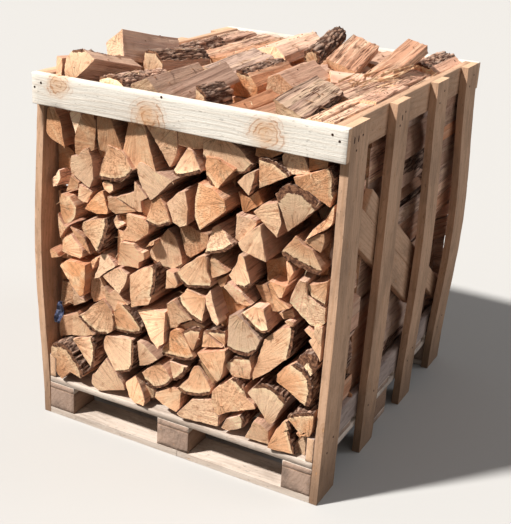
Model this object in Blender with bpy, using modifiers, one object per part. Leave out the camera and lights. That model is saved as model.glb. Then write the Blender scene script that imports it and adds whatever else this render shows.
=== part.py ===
"""Crate pallet of split firewood.

A block pallet carries eight nailed posts, a rail round the top and the bottom, two
diagonal braces on each side, four rows of stacked logs and fifteen loose logs on top.

Metres, +Z up. X runs across the front, which is one metre wide, and Y runs from the
front (-Y) to the back. The origin is on the ground under the centre of the pallet.
"""
import math

import bmesh
import bpy
from mathutils import Matrix, Vector

# Pallet
PALLET_WIDTH = 1.0
PALLET_DEPTH = 1.2
BOARD = 0.022                 # thickness of the bottom boards, stringers and deck boards
BLOCK_HEIGHT = 0.078
BLOCK_DEPTH = 0.120           # along Y, also the width of a bottom board
OUTER_BLOCK_WIDTH = 0.100
MIDDLE_BLOCK_WIDTH = 0.120
DECK_BOARDS = 7
DECK_BOARD_WIDTH = 0.130
SPLICE_X = 0.030              # where the two lengths of the front bottom board meet
SPLICE_SLANT = 0.012

# Crate
CRATE_HEIGHT = 1.200
POST_THICKNESS = 0.026        # along X
OUTER_POST_WIDTH = 0.130      # along Y
INNER_POST_WIDTH = 0.119
INNER_POST_Y = 0.1915         # centre of an inner post, either side of the middle
RAIL_THICKNESS = 0.025
TOP_RAIL_HEIGHT = 0.097
BOTTOM_RAIL_HEIGHT = 0.085
POST_BOWS = {                 # how far the load pushes each post out, front to back
    "left": (0.026, 0.016, 0.010, 0.005),
    "right": (0.005, 0.004, 0.015, 0.026),
}
BOW_STEPS = 10

# Diagonal braces, in the side's own plane: distances along and above a sloping line
# through the pallet's middle at ground height.
BRACE_SLOPE = math.radians(34.5)
BRACE_JOINT = 0.529           # height of the seam between the two boards
UPPER_BRACE = (-0.795, 0.258, 0.075)     # start, end, board width
LOWER_BRACE = (-0.920, -0.058, 0.105)

# Firewood
LOG_LENGTH = 0.295
ROWS = 4
ROW_OVERHANG = 0.020          # how far the log ends of the outer rows pass the pallet
END_DEPTH = 0.060             # the outer rows' log ends spread this deep between the posts

GAP = 0.0003                  # between pieces that touch
EDGE = 0.0015                 # worn edge of a board

HALF_WIDTH = PALLET_WIDTH / 2
HALF_DEPTH = PALLET_DEPTH / 2
BLOCK_BASE = BOARD
STRINGER_BASE = BLOCK_BASE + BLOCK_HEIGHT
DECK_BASE = STRINGER_BASE + BOARD
DECK_TOP = DECK_BASE + BOARD
LINING = HALF_WIDTH - RAIL_THICKNESS   # inner face of the side rails and braces
LOG_FLOOR = DECK_TOP + GAP

# The rows' upper outlines, left to right, in centimetres: x, z
ROW_TOPS_CM = (
    ((-47.4, 112.0), (-18.6, 112.0), (-18.2, 114.5), (9.6, 114.5), (10.4, 119.0),
     (27.2, 119.6), (27.8, 114.5), (38.0, 114.5), (38.6, 120.4), (47.4, 120.6)),
    ((-47.4, 114.5), (-20.4, 114.5), (-19.6, 120.0), (-2.4, 120.4), (-1.8, 114.5),
     (24.2, 114.5), (24.8, 120.2), (47.4, 120.8)),
    ((-47.4, 119.6), (-17.0, 120.2), (-16.2, 116.0), (44.6, 116.0), (45.4, 119.6),
     (47.4, 119.6)),
    ((-47.4, 119.4), (-17.0, 120.0), (-16.0, 119.0), (30.0, 119.6), (47.4, 119.6)),
)

# Loose logs, in centimetres. Each has the centre line's front and back points, and an
# outline round it as seen from the front, anticlockwise: right of the line, above it.
LOOSE_LOGS_CM = {
    "slim": ((-46.1, -58.0, 114.9), (-46.0, -38.0, 112.8),
             ((-1.1, 0.2), (1.0, 0.0), (1.1, 9.6), (-1.0, 10.2))),
    "fibrous": ((-38.6, -58.0, 118.6), (-38.0, -33.0, 112.6),
                ((-5.0, 0.4), (-0.9, 0.0), (5.8, 7.4), (0.4, 9.6), (-3.4, 9.1),
                 (-6.1, 6.3), (-5.8, 2.4))),
    "low_bark": ((-24.8, -59.0, 114.4), (-25.4, -30.6, 112.3),
                 ((-5.4, 0.0), (5.6, 0.1), (5.2, 4.6), (2.2, 7.0), (-1.6, 7.8),
                  (-5.2, 6.6))),
    "brown": ((-11.6, -58.6, 114.8), (-10.6, -30.4, 114.9),
              ((-6.2, 0.0), (5.8, 0.1), (4.6, 3.4), (-3.0, 8.6), (-6.0, 7.0))),
    "ridged": ((-0.6, -58.4, 114.9), (3.0, -31.2, 117.0),
               ((-3.4, 0.0), (2.2, 0.2), (2.6, 2.6), (-1.6, 8.9), (-3.6, 8.2))),
    "bark_edge": ((4.9, -58.6, 115.8), (6.4, -46.0, 115.4),
                  ((-1.9, 0.0), (2.6, 0.1), (2.2, 5.4), (-1.8, 7.8))),
    "right_bark": ((32.8, -58.4, 114.9), (33.2, -30.2, 115.6),
                   ((-3.6, 0.0), (3.8, 0.1), (4.2, 4.4), (2.4, 8.0), (-3.0, 9.2),
                    (-4.4, 6.2))),
    "block": ((-44.4, -29.8, 120.9), (-39.4, -2.6, 115.4),
              ((-4.2, 0.4), (4.8, 0.0), (0.4, 9.6), (-6.2, 4.0))),
    "bark_top": ((-34.0, -24.0, 116.4), (-28.8, -1.6, 114.9),
                 ((-4.4, 0.0), (4.6, 0.1), (4.4, 4.6), (1.0, 7.4), (-3.6, 7.0))),
    "orange": ((4.2, -29.2, 114.9), (4.8, -1.6, 115.0),
               ((-4.6, 0.0), (4.2, 0.1), (4.0, 4.2), (0.6, 8.0), (-3.4, 8.6))),
    "grey_face": ((16.0, -28.0, 114.9), (15.4, -0.8, 115.1),
                  ((-5.6, 0.0), (6.2, 0.1), (5.4, 4.4), (-1.0, 9.2), (-4.8, 7.8))),
    "dark_bark": ((7.6, 8.0, 118.9), (8.4, 31.0, 121.9),
                  ((-4.6, 0.1), (3.4, 0.0), (5.0, 4.0), (4.2, 8.2), (0.6, 9.4),
                   (-3.8, 6.8))),
    "straight_grain": ((19.0, 6.5, 118.2), (18.6, 31.0, 121.2),
                       ((-4.0, 0.2), (5.4, 0.0), (6.0, 4.6), (-1.0, 9.4), (-4.4, 8.6))),
    "lifted": ((36.0, 3.0, 120.2), (37.4, 31.0, 125.2),
               ((-4.8, 0.1), (5.0, 0.0), (5.6, 3.0), (1.2, 6.0), (-4.4, 4.4))),
    "flat_pale": ((-9.0, 13.0, 118.4), (-6.4, 40.0, 120.6),
                  ((-6.4, 0.0), (6.6, 0.1), (6.0, 3.0), (1.6, 5.6), (-5.6, 3.8))),
}


def clear_scene():
    for item in list(bpy.data.objects):
        bpy.data.objects.remove(item, do_unlink=True)


def make_material(name, color, roughness):
    material = bpy.data.materials.new(name)
    material.use_nodes = True
    shader = material.node_tree.nodes["Principled BSDF"]
    shader.inputs["Base Color"].default_value = (*color, 1.0)
    shader.inputs["Roughness"].default_value = roughness
    return material


def place(item, material, collection):
    for owner in item.users_collection:
        owner.objects.unlink(item)
    collection.objects.link(item)
    item.data.materials.append(material)
    return item


def add_box(name, low, high, material, edge=EDGE):
    """A box between two corners, with its scale applied and its edges eased."""
    low, high = Vector(low), Vector(high)
    bpy.ops.mesh.primitive_cube_add(size=1, location=(low + high) / 2)
    box = bpy.context.object
    box.name = name
    box.data.name = name
    box.data.transform(Matrix.Diagonal((*(high - low), 1)))
    if edge:
        bevel = box.modifiers.new("eased edges", "BEVEL")
        bevel.width = edge
        bevel.segments = 1
    return place(box, material, parts)


def add_outline(name, points, thickness, material):
    """A flat outline in its own XY plane, extruded evenly to both sides of it."""
    curve = bpy.data.curves.new(name, "CURVE")
    curve.dimensions = "2D"
    curve.fill_mode = "BOTH"
    curve.extrude = thickness / 2
    spline = curve.splines.new("POLY")
    spline.points.add(len(points) - 1)
    for point, (x, y) in zip(spline.points, points):
        point.co = (x, y, 0, 1)
    spline.use_cyclic_u = True
    item = bpy.data.objects.new(name, curve)
    bpy.context.scene.collection.objects.link(item)
    return place(item, material, parts)


def stand_up(item, y):
    """Turns an outline drawn in X and Z upright, at a distance along Y."""
    item.rotation_euler = (math.pi / 2, 0, 0)
    item.location = (0, y, 0)
    return item


def as_mesh(item):
    """Replaces an outline by a mesh of the same shape, with its caps welded on."""
    bpy.context.view_layer.update()
    evaluated = item.evaluated_get(bpy.context.evaluated_depsgraph_get())
    mesh = bpy.data.meshes.new_from_object(evaluated)
    shell = bmesh.new()
    shell.from_mesh(mesh)
    bmesh.ops.remove_doubles(shell, verts=shell.verts, dist=0.00001)
    shell.to_mesh(mesh)
    shell.free()
    solid = bpy.data.objects.new(item.name, mesh)
    solid.matrix_world = item.matrix_world
    name = item.name
    bpy.data.objects.remove(item, do_unlink=True)
    solid.name = name
    parts.objects.link(solid)
    return solid


def build_pallet():
    block_columns = {
        "left": (-HALF_WIDTH, -HALF_WIDTH + OUTER_BLOCK_WIDTH),
        "middle": (-MIDDLE_BLOCK_WIDTH / 2, MIDDLE_BLOCK_WIDTH / 2),
        "right": (HALF_WIDTH - OUTER_BLOCK_WIDTH, HALF_WIDTH),
    }
    block_rows = {
        "front": (-HALF_DEPTH, -HALF_DEPTH + BLOCK_DEPTH),
        "middle": (-BLOCK_DEPTH / 2, BLOCK_DEPTH / 2),
        "back": (HALF_DEPTH - BLOCK_DEPTH, HALF_DEPTH),
    }
    for row, (y_low, y_high) in block_rows.items():
        for column, (x_low, x_high) in block_columns.items():
            low = (x_low, y_low, BLOCK_BASE + GAP)
            high = (x_high, y_high, STRINGER_BASE)
            add_box(f"block_{row}_{column}", low, high, block_wood)
        if row == "front":
            build_spliced_board(y_low, y_high)
        else:
            low, high = (-HALF_WIDTH, y_low, 0), (HALF_WIDTH, y_high, BOARD)
            add_box(f"bottom_board_{row}", low, high, pallet_wood)
    for column, (x_low, x_high) in block_columns.items():
        low = (x_low, -HALF_DEPTH, STRINGER_BASE + GAP)
        high = (x_high, HALF_DEPTH, DECK_BASE)
        add_box(f"stringer_{column}", low, high, pallet_wood)
    pitch = (PALLET_DEPTH - DECK_BOARD_WIDTH) / (DECK_BOARDS - 1)
    for number in range(DECK_BOARDS):
        y_low = -HALF_DEPTH + number * pitch
        low = (-HALF_WIDTH, y_low, DECK_BASE + GAP)
        high = (HALF_WIDTH, y_low + DECK_BOARD_WIDTH, DECK_TOP)
        add_box(f"deck_board_{number + 1}", low, high, pallet_wood)


def build_spliced_board(y_low, y_high):
    """The front bottom board: two lengths whose slanted ends meet under a block."""
    slant = (SPLICE_X - SPLICE_SLANT, y_low), (SPLICE_X + SPLICE_SLANT, y_high)
    left = ((-HALF_WIDTH, y_low), slant[0], slant[1], (-HALF_WIDTH, y_high))
    right = ((HALF_WIDTH, y_high), (slant[1][0] + GAP, y_high),
             (slant[0][0] + GAP, y_low), (HALF_WIDTH, y_low))
    for side, outline in (("left", left), ("right", right)):
        board = add_outline(f"bottom_board_front_{side}", outline, BOARD, pallet_wood)
        board.location.z = BOARD / 2


def build_posts():
    outer_y = HALF_DEPTH - OUTER_POST_WIDTH / 2
    stations = ((-outer_y, OUTER_POST_WIDTH), (-INNER_POST_Y, INNER_POST_WIDTH),
                (INNER_POST_Y, INNER_POST_WIDTH), (outer_y, OUTER_POST_WIDTH))
    for side, sign in (("left", -1), ("right", 1)):
        for number, (bow, (y, width)) in enumerate(zip(POST_BOWS[side], stations), 1):
            inner, outer = [], []
            for step in range(BOW_STEPS + 1):
                share = step / BOW_STEPS
                x = HALF_WIDTH + GAP + bow * math.sin(math.pi * share) ** 2
                inner.append((sign * x, share * CRATE_HEIGHT))
                outer.append((sign * (x + POST_THICKNESS), share * CRATE_HEIGHT))
            post = add_outline(f"post_{side}_{number}", inner + outer[::-1], width, post_wood)
            stand_up(post, y)


def build_rails():
    reach = HALF_WIDTH + GAP + POST_THICKNESS
    for end, sign in (("front", -1), ("back", 1)):
        near, far = sign * (HALF_DEPTH + GAP), sign * (HALF_DEPTH + GAP + RAIL_THICKNESS)
        low = (-reach, min(near, far), CRATE_HEIGHT - TOP_RAIL_HEIGHT)
        high = (reach, max(near, far), CRATE_HEIGHT)
        add_box(f"top_rail_{end}", low, high, rail_wood)
    levels = {
        "top": (CRATE_HEIGHT - TOP_RAIL_HEIGHT, CRATE_HEIGHT),
        "bottom": (DECK_TOP + GAP, DECK_TOP + GAP + BOTTOM_RAIL_HEIGHT),
    }
    for level, (z_low, z_high) in levels.items():
        for side, sign in (("left", -1), ("right", 1)):
            x_low, x_high = sorted((sign * LINING, sign * HALF_WIDTH))
            low, high = (x_low, -HALF_DEPTH, z_low), (x_high, HALF_DEPTH, z_high)
            add_box(f"{level}_rail_{side}", low, high, post_wood)


def build_braces():
    along = Vector((0, math.cos(BRACE_SLOPE), -math.sin(BRACE_SLOPE)))
    above = Vector((0, math.sin(BRACE_SLOPE), math.cos(BRACE_SLOPE)))
    boards = {"upper": (*UPPER_BRACE, 1), "lower": (*LOWER_BRACE, -1)}
    for level, (start, end, width, direction) in boards.items():
        centre = along * (start + end) / 2
        centre += above * (BRACE_JOINT + direction * (width + GAP) / 2)
        for side, sign in (("left", -1), ("right", 1)):
            half = Vector((RAIL_THICKNESS, end - start, width)) / 2
            name = f"diagonal_{level}_{side}"
            board = add_box(name, -half, half, post_wood)
            board.location = (sign * (HALF_WIDTH - RAIL_THICKNESS / 2), centre.y, centre.z)
            board.rotation_euler.x = -BRACE_SLOPE


def build_log_rows():
    """One solid a row, from the deck up to the tips of the logs stacked in it."""
    centimetre = 0.01
    pitch = PALLET_DEPTH / ROWS
    for row, top in enumerate(ROW_TOPS_CM):
        y = -HALF_DEPTH + (row + 0.5) * pitch
        outline = [(x * centimetre, z * centimetre) for x, z in reversed(top)]
        outline += [(outline[-1][0], LOG_FLOOR), (outline[0][0], LOG_FLOOR)]
        stack = add_outline(f"log_row_{row + 1}", outline, LOG_LENGTH, log_wood)
        stand_up(stack, y)
        if row in (0, ROWS - 1):
            spread_ends(as_mesh(stack), math.copysign(HALF_DEPTH, y))


def spread_ends(stack, face_y):
    """Brings an outer row's log ends out past the pallet and sideways to the posts."""
    reach, top = HALF_WIDTH - GAP, CRATE_HEIGHT - TOP_RAIL_HEIGHT - GAP
    ledge = DECK_TOP + BOTTOM_RAIL_HEIGHT + 2 * GAP
    side = LINING - GAP
    half = ((side, LOG_FLOOR + GAP), (side, ledge), (reach, ledge), (reach, top))
    outline = list(half) + [(-x, z) for x, z in reversed(half)]
    ends = add_outline(f"{stack.name}_ends", outline, END_DEPTH, log_wood)
    stand_up(ends, face_y - math.copysign(END_DEPTH / 2 - ROW_OVERHANG, face_y))
    ends = as_mesh(ends)
    parts.objects.unlink(ends)
    cutters.objects.link(ends)
    ends.hide_render = True
    ends.display_type = "WIRE"
    union = stack.modifiers.new("log ends", "BOOLEAN")
    union.operation = "UNION"
    union.solver = "MANIFOLD"     # EXACT leaves the ledge over the bottom rail open
    union.object = ends


def build_loose_logs():
    centimetre = 0.01
    for name, (front, back, outline) in LOOSE_LOGS_CM.items():
        front, back = Vector(front) * centimetre, Vector(back) * centimetre
        towards_front = (front - back).normalized()
        across = Vector((0, 0, 1)).cross(towards_front).normalized()
        upward = towards_front.cross(across)
        points = [(x * centimetre, z * centimetre) for x, z in outline]
        log = add_outline(f"loose_log_{name}", points, (front - back).length, log_wood)
        log.rotation_euler = Matrix((across, upward, towards_front)).transposed().to_euler()
        log.location = (front + back) / 2


clear_scene()
parts = bpy.data.collections.new("pallet_of_firewood")
cutters = bpy.data.collections.new("cutters")
for collection in (parts, cutters):
    bpy.context.scene.collection.children.link(collection)

rail_wood = make_material("fresh_pale_board", (0.86, 0.76, 0.60), 0.7)
post_wood = make_material("sawn_board", (0.70, 0.52, 0.34), 0.7)
pallet_wood = make_material("weathered_board", (0.62, 0.54, 0.45), 0.8)
block_wood = make_material("pressed_block", (0.45, 0.35, 0.27), 0.85)
log_wood = make_material("split_log", (0.74, 0.50, 0.30), 0.75)

build_pallet()
build_posts()
build_rails()
build_braces()
build_log_rows()
build_loose_logs()
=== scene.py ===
"""Visual model of a crate pallet of split firewood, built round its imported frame.

Metres, +Z up, the front towards -Y. Lists of log outlines are in centimetres.
"""
import math
import random

import bmesh
import bpy
from mathutils import Matrix, Vector, noise
from mathutils.bvhtree import BVHTree


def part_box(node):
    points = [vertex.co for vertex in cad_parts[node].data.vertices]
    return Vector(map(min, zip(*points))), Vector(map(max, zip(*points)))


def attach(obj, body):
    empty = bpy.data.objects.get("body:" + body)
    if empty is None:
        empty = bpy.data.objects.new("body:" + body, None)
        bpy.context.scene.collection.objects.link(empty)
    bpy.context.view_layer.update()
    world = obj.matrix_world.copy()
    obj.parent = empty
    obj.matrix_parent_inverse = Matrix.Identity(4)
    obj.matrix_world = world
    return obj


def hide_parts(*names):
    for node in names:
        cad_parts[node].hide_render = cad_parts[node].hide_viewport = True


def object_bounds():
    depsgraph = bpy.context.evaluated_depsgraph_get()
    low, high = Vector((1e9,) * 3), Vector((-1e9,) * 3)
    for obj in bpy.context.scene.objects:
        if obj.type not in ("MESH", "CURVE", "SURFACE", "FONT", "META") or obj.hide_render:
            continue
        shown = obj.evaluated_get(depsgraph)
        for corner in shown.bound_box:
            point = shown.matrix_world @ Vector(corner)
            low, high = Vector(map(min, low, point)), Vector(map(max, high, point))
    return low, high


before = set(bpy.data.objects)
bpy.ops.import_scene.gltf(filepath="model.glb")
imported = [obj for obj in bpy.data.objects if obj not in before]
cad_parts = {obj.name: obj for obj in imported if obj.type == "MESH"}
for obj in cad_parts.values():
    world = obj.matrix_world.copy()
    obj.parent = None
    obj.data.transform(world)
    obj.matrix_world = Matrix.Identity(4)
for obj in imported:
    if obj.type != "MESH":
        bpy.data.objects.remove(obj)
cad_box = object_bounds()

CM = 0.01
BODY = "root"
X_AXIS, Y_AXIS, Z_AXIS = Vector((1, 0, 0)), Vector((0, 1, 0)), Vector((0, 0, 1))
DOWN = Vector((0, 0, -1))


def add_object(name, data):
    item = bpy.data.objects.new(name, data)
    bpy.context.scene.collection.objects.link(item)
    return item


def to_mesh(shell, name):
    mesh = bpy.data.meshes.new(name)
    shell.to_mesh(mesh)
    shell.free()
    return mesh


def set_vectors(mesh, **lists):
    """Gives each point of a mesh some named vectors, from flat lists of their parts."""
    for name, values in lists.items():
        mesh.attributes.new(name, "FLOAT_VECTOR", "POINT").data.foreach_set("vector", values)


# ---------------------------------------------------------------- camera and light

CAMERA_AZIMUTH = math.radians(26.35)
CAMERA_ELEVATION = math.radians(22.08)
CAMERA_ROLL = math.radians(3.55)
CAMERA_DISTANCE = 3.402
CAMERA_TARGET = Vector((0.061, -0.189, 0.567))
CAMERA_LENS, SENSOR = 68.4, 36.0     # millimetres
SUNS = {                        # heading, strength, softness in degrees, and colour
    "key": (Vector((0.90, 1.00, -1.70)), 5.7, 4.0, (1.0, 0.96, 0.90)),
    "fill": (Vector((-1.0, -0.6, -0.45)), 0.64, 30.0, (0.92, 0.95, 1.0)),
}
SKY, SKY_STRENGTH = (1.0, 0.95, 0.90), 0.25
BACKDROP = (0.80, 0.78, 0.75)   # what the camera sees of the sky
FLOOR_REACH, FLOOR_DROP = 40.0, 0.0005
FLOOR_SEEN, FLOOR_BOUNCE = (0.52, 0.52, 0.52), (0.13, 0.12, 0.11)


def make_camera():
    back = Vector((
        math.sin(CAMERA_AZIMUTH) * math.cos(CAMERA_ELEVATION),
        -math.cos(CAMERA_AZIMUTH) * math.cos(CAMERA_ELEVATION),
        math.sin(CAMERA_ELEVATION),
    ))
    right = Z_AXIS.cross(back).normalized()
    up = back.cross(right)
    cosine, sine = math.cos(CAMERA_ROLL), math.sin(CAMERA_ROLL)
    turned = Matrix((right * cosine + up * sine, up * cosine - right * sine, back))
    data = bpy.data.cameras.new("camera")
    data.sensor_width = SENSOR
    data.lens = CAMERA_LENS
    camera = add_object("camera", data)
    camera.matrix_world = (
        Matrix.Translation(CAMERA_TARGET + back * CAMERA_DISTANCE)
        @ turned.transposed().to_4x4()
    )
    bpy.context.scene.camera = camera


def make_sun(name, heading, strength, softness, colour):
    data = bpy.data.lights.new(name, "SUN")
    data.energy = strength
    data.angle = math.radians(softness)
    data.color = colour
    add_object(name, data).rotation_euler = heading.to_track_quat("-Z", "Y").to_euler()


def make_world():
    """A soft sky, which the camera sees as a plain pale backdrop."""
    world = bpy.data.worlds.new("studio")
    world.use_nodes = True
    tree = world.node_tree
    light = tree.nodes["Background"]
    light.inputs["Color"].default_value = (*SKY, 1)
    light.inputs["Strength"].default_value = SKY_STRENGTH
    backdrop = tree.nodes.new("ShaderNodeBackground")
    backdrop.inputs["Color"].default_value = (*BACKDROP, 1)
    eye = tree.nodes.new("ShaderNodeLightPath")
    chooser = tree.nodes.new("ShaderNodeMixShader")
    tree.links.new(eye.outputs["Is Camera Ray"], chooser.inputs[0])
    tree.links.new(light.outputs[0], chooser.inputs[1])
    tree.links.new(backdrop.outputs[0], chooser.inputs[2])
    tree.links.new(chooser.outputs[0], tree.nodes["World Output"].inputs["Surface"])
    bpy.context.scene.world = world


# ---------------------------------------------------------------- shader sums


def paint(red, green, blue):
    """A colour as a painter names it, 0 to 255, in the linear light that shaders use."""
    def linear(part):
        share = part / 255
        return share / 12.92 if share <= 0.04045 else ((share + 0.055) / 1.055) ** 2.4
    return linear(red), linear(green), linear(blue)


def sum_of(operation, swapped=False):
    """What a shader value does in a sum: it adds the Math node that works it out."""
    def add_node(value, other):
        pair = (other, value) if swapped else (value, other)
        return value.finish.math(operation, *pair)
    return add_node


class Value:
    """A shader value, which sums can be written with."""

    def __init__(self, finish, socket):
        self.finish, self.socket = finish, socket

    __add__, __radd__ = sum_of("ADD"), sum_of("ADD", swapped=True)
    __sub__, __rsub__ = sum_of("SUBTRACT"), sum_of("SUBTRACT", swapped=True)
    __mul__, __rmul__ = sum_of("MULTIPLY"), sum_of("MULTIPLY", swapped=True)
    __truediv__ = sum_of("DIVIDE")


class Finish:
    """A material being built."""

    def __init__(self, name, roughness):
        self.material = bpy.data.materials.new(name)
        self.material.use_nodes = True
        self.tree = self.material.node_tree
        self.shader = self.tree.nodes["Principled BSDF"]
        self.shader.inputs["Roughness"].default_value = roughness
        self.shader.inputs["Specular IOR Level"].default_value = 0.25

    def node(self, kind, settings, inputs, output=0):
        """Adds a node, sets its settings, then fills or links its inputs."""
        made = self.tree.nodes.new(kind)
        for key, value in settings.items():
            setattr(made, key, value)
        for key, value in inputs.items():
            self.feed(made.inputs[key], value)
        return Value(self, made.outputs[output])

    def feed(self, socket, value):
        if isinstance(value, Value):
            self.tree.links.new(value.socket, socket)
        elif socket.type == "RGBA":
            socket.default_value = (*value, 1)
        else:
            socket.default_value = value

    def place(self):
        """The place in the whole object."""
        return self.node("ShaderNodeTexCoord", {}, {}, "Object")

    def attribute(self, name, output="Vector"):
        return self.node("ShaderNodeAttribute", {"attribute_name": name}, {}, output)

    def math(self, operation, *values):
        return self.node("ShaderNodeMath", {"operation": operation}, dict(enumerate(values)))

    def parts(self, vector):
        split = self.node("ShaderNodeSeparateXYZ", {}, {0: vector}).socket.node
        return [Value(self, output) for output in split.outputs]

    def join(self, x, y, z):
        return self.node("ShaderNodeCombineXYZ", {}, {0: x, 1: y, 2: z})

    def vector_math(self, operation, inputs, output=0):
        return self.node("ShaderNodeVectorMath", {"operation": operation}, inputs, output)

    def stretch(self, vector, x, y, z):
        return self.vector_math("MULTIPLY", {0: vector, 1: (x, y, z)})

    def shift(self, vector, other):
        return self.vector_math("ADD", {0: vector, 1: other})

    def heading(self, vector):
        return self.vector_math("NORMALIZE", {0: vector})

    def length(self, vector):
        return self.vector_math("LENGTH", {0: vector}, "Value")

    def scaled(self, colour, amount):
        return self.vector_math("SCALE", {0: colour, "Scale": amount})

    def noise(self, vector, scale=1.0, detail=2.0, roughness=0.5):
        return self.node("ShaderNodeTexNoise", {}, {
            "Vector": vector, "Scale": scale, "Detail": detail, "Roughness": roughness})

    def streaks(self, vector, across, along, detail=3.0, roughness=0.5):
        """Noise that repeats so many times a metre across the grain and along it."""
        stretched = self.stretch(vector, across, across, along)
        return self.noise(stretched, 1.0, detail, roughness)

    def rise(self, value, low, high):
        """0 below low, 1 above high, and a smooth climb between them."""
        return self.node("ShaderNodeMapRange", {"interpolation_type": "SMOOTHSTEP"}, {
            "Value": value, "From Min": low, "From Max": high})

    def fall(self, value, low, high):
        return 1 - self.rise(value, low, high)

    def mix(self, share, first, second):
        return self.node(
            "ShaderNodeMix", {"data_type": "RGBA"}, {0: share, 6: first, 7: second}, 2)

    def coats(self, colour, *coats):
        """Lays coats over a colour in turn, each given as its share and its own colour."""
        for share, coat in coats:
            colour = self.mix(share, colour, coat)
        return colour

    def finish(self, colour, height, depth):
        self.feed(self.shader.inputs["Base Color"], colour)
        bump = self.node("ShaderNodeBump", {}, {
            "Height": height, "Distance": depth, "Strength": 1.0})
        self.feed(self.shader.inputs["Normal"], bump)
        return self.material


class Wood(Finish):
    """A finish that knows the wood's own coordinates and its tone.

    grain is the place in the wood, its third part along the fibres. The tone is how
    light and how warm the piece is, and how near its bark is.
    """

    def __init__(self, name, roughness):
        super().__init__(name, roughness)
        self.grain = self.attribute("grain")
        self.lightness, self.warmth, self.rind = self.parts(self.attribute("tone"))


# ---------------------------------------------------------------- wood finishes

BARK_DARK = paint(78, 48, 36)
BARK_LIGHT = paint(204, 166, 144)
BARK_GREY = paint(182, 164, 152)
RING_WIDTH = 0.0046             # of a growth ring on a log's end
BOARD_RING_WIDTH = 0.0145       # of a growth ring on a board's face
RAIL_KNOTS = (                  # along the rail, up it, and radius
    (-0.425, 0.028, 0.040), (-0.098, -0.022, 0.050), (0.285, -0.004, 0.048))


def log_shade(wood):
    """How light the piece is, from dark old wood to fresh white wood; on logs set deep in the stack the
    darkness is partly painted shade.
    """
    return 0.65 + 0.90 * wood.lightness


def make_end_grain():
    """Sawn ends: fibres that fan out from the heart, pale sapwood, the bark's edge."""
    wood = Wood("end_grain", 0.82)
    along = wood.parts(wood.grain)[2]
    wobble = wood.noise(wood.grain, 24.0, 3.0) - 0.5
    flat = wood.stretch(wood.grain, 1, 1, 0)
    radius = wood.length(flat) + wobble * 0.012
    rings = wood.math("SINE", radius * (math.tau / RING_WIDTH))
    heading = wood.heading(flat)

    def fan(count, spread, detail, roughness=0.5):
        """Noise that runs out along rays from the heart."""
        return wood.noise(
            wood.shift(wood.stretch(heading, count, count, 0), spread), 1.0, detail, roughness)

    spread = wood.join(0.0, 0.0, radius * 6.0 + along * 4.0)
    rays = fan(17, spread, 3.0, 0.65)
    fine_rays = fan(64, wood.join(0.0, 0.0, radius * 18.0 + along * 7.0), 3.0, 0.6)
    split = fan(5, spread, 1.0)
    checks = wood.rise(split, 0.555, 0.565) * wood.fall(split, 0.565, 0.58)
    checks = checks * wood.fall(radius, 0.03, 0.07)
    blotch = wood.noise(wood.grain, 17.0, 4.0, 0.6)
    stain = wood.streaks(wood.grain, 40, 5, roughness=0.6)
    fuzz = wood.noise(wood.grain, 240.0, 3.0, 0.7)
    torn = wood.rise(wood.noise(wood.join(0.37, 0.71, along * 2.7), 1.0, 0.0), 0.50, 0.60)
    flecks = wood.rise(wood.noise(wood.stretch(wood.grain, 130, 300, 20), 1.0, 3.0), 0.54, 0.62)
    colour = wood.coats(
        wood.mix(wood.warmth, paint(231, 203, 174), paint(230, 167, 120)),
        (wood.fall(radius, 0.010, 0.075) * 0.45, paint(206, 140, 94)),      # heartwood
        (wood.fall(wood.rind, 1.0, 2.7) * (0.30 + 0.60 * wood.lightness),
         paint(246, 222, 184)),                                             # sapwood
        (wood.rise(blotch, 0.46, 0.72) * 0.6, paint(240, 212, 176)),
        (wood.rise(stain, 0.54, 0.74) * 0.60, paint(164, 102, 66)),
        (wood.rise(rays, 0.52, 0.70) * 0.42, paint(246, 212, 170)),
        (wood.fall(rays, 0.30, 0.46) * 0.50, paint(152, 94, 60)),
        (torn * flecks * 0.30, paint(158, 100, 64)),
    )
    shade = 1.03 + 0.05 * rings + 0.66 * (fine_rays - 0.5) + 0.66 * (fuzz - 0.5)
    colour = wood.scaled(colour, (shade - 0.55 * checks) * log_shade(wood))
    skin = wood.noise(wood.grain, 110.0, 3.0, 0.6)
    bark_share = wood.fall(wood.rind + 0.8 * (skin - 0.5), 0.85, 1.0)
    bark = wood.mix(wood.rise(skin, 0.35, 0.65), BARK_DARK, paint(150, 108, 82))
    height = 0.5 * rays + 0.5 * fine_rays + 0.6 * fuzz + 0.06 * rings
    height = height + 0.5 * torn * flecks - 1.2 * checks - 0.8 * bark_share
    return wood.finish(wood.mix(bark_share, colour, bark), height, 0.0030)


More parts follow.
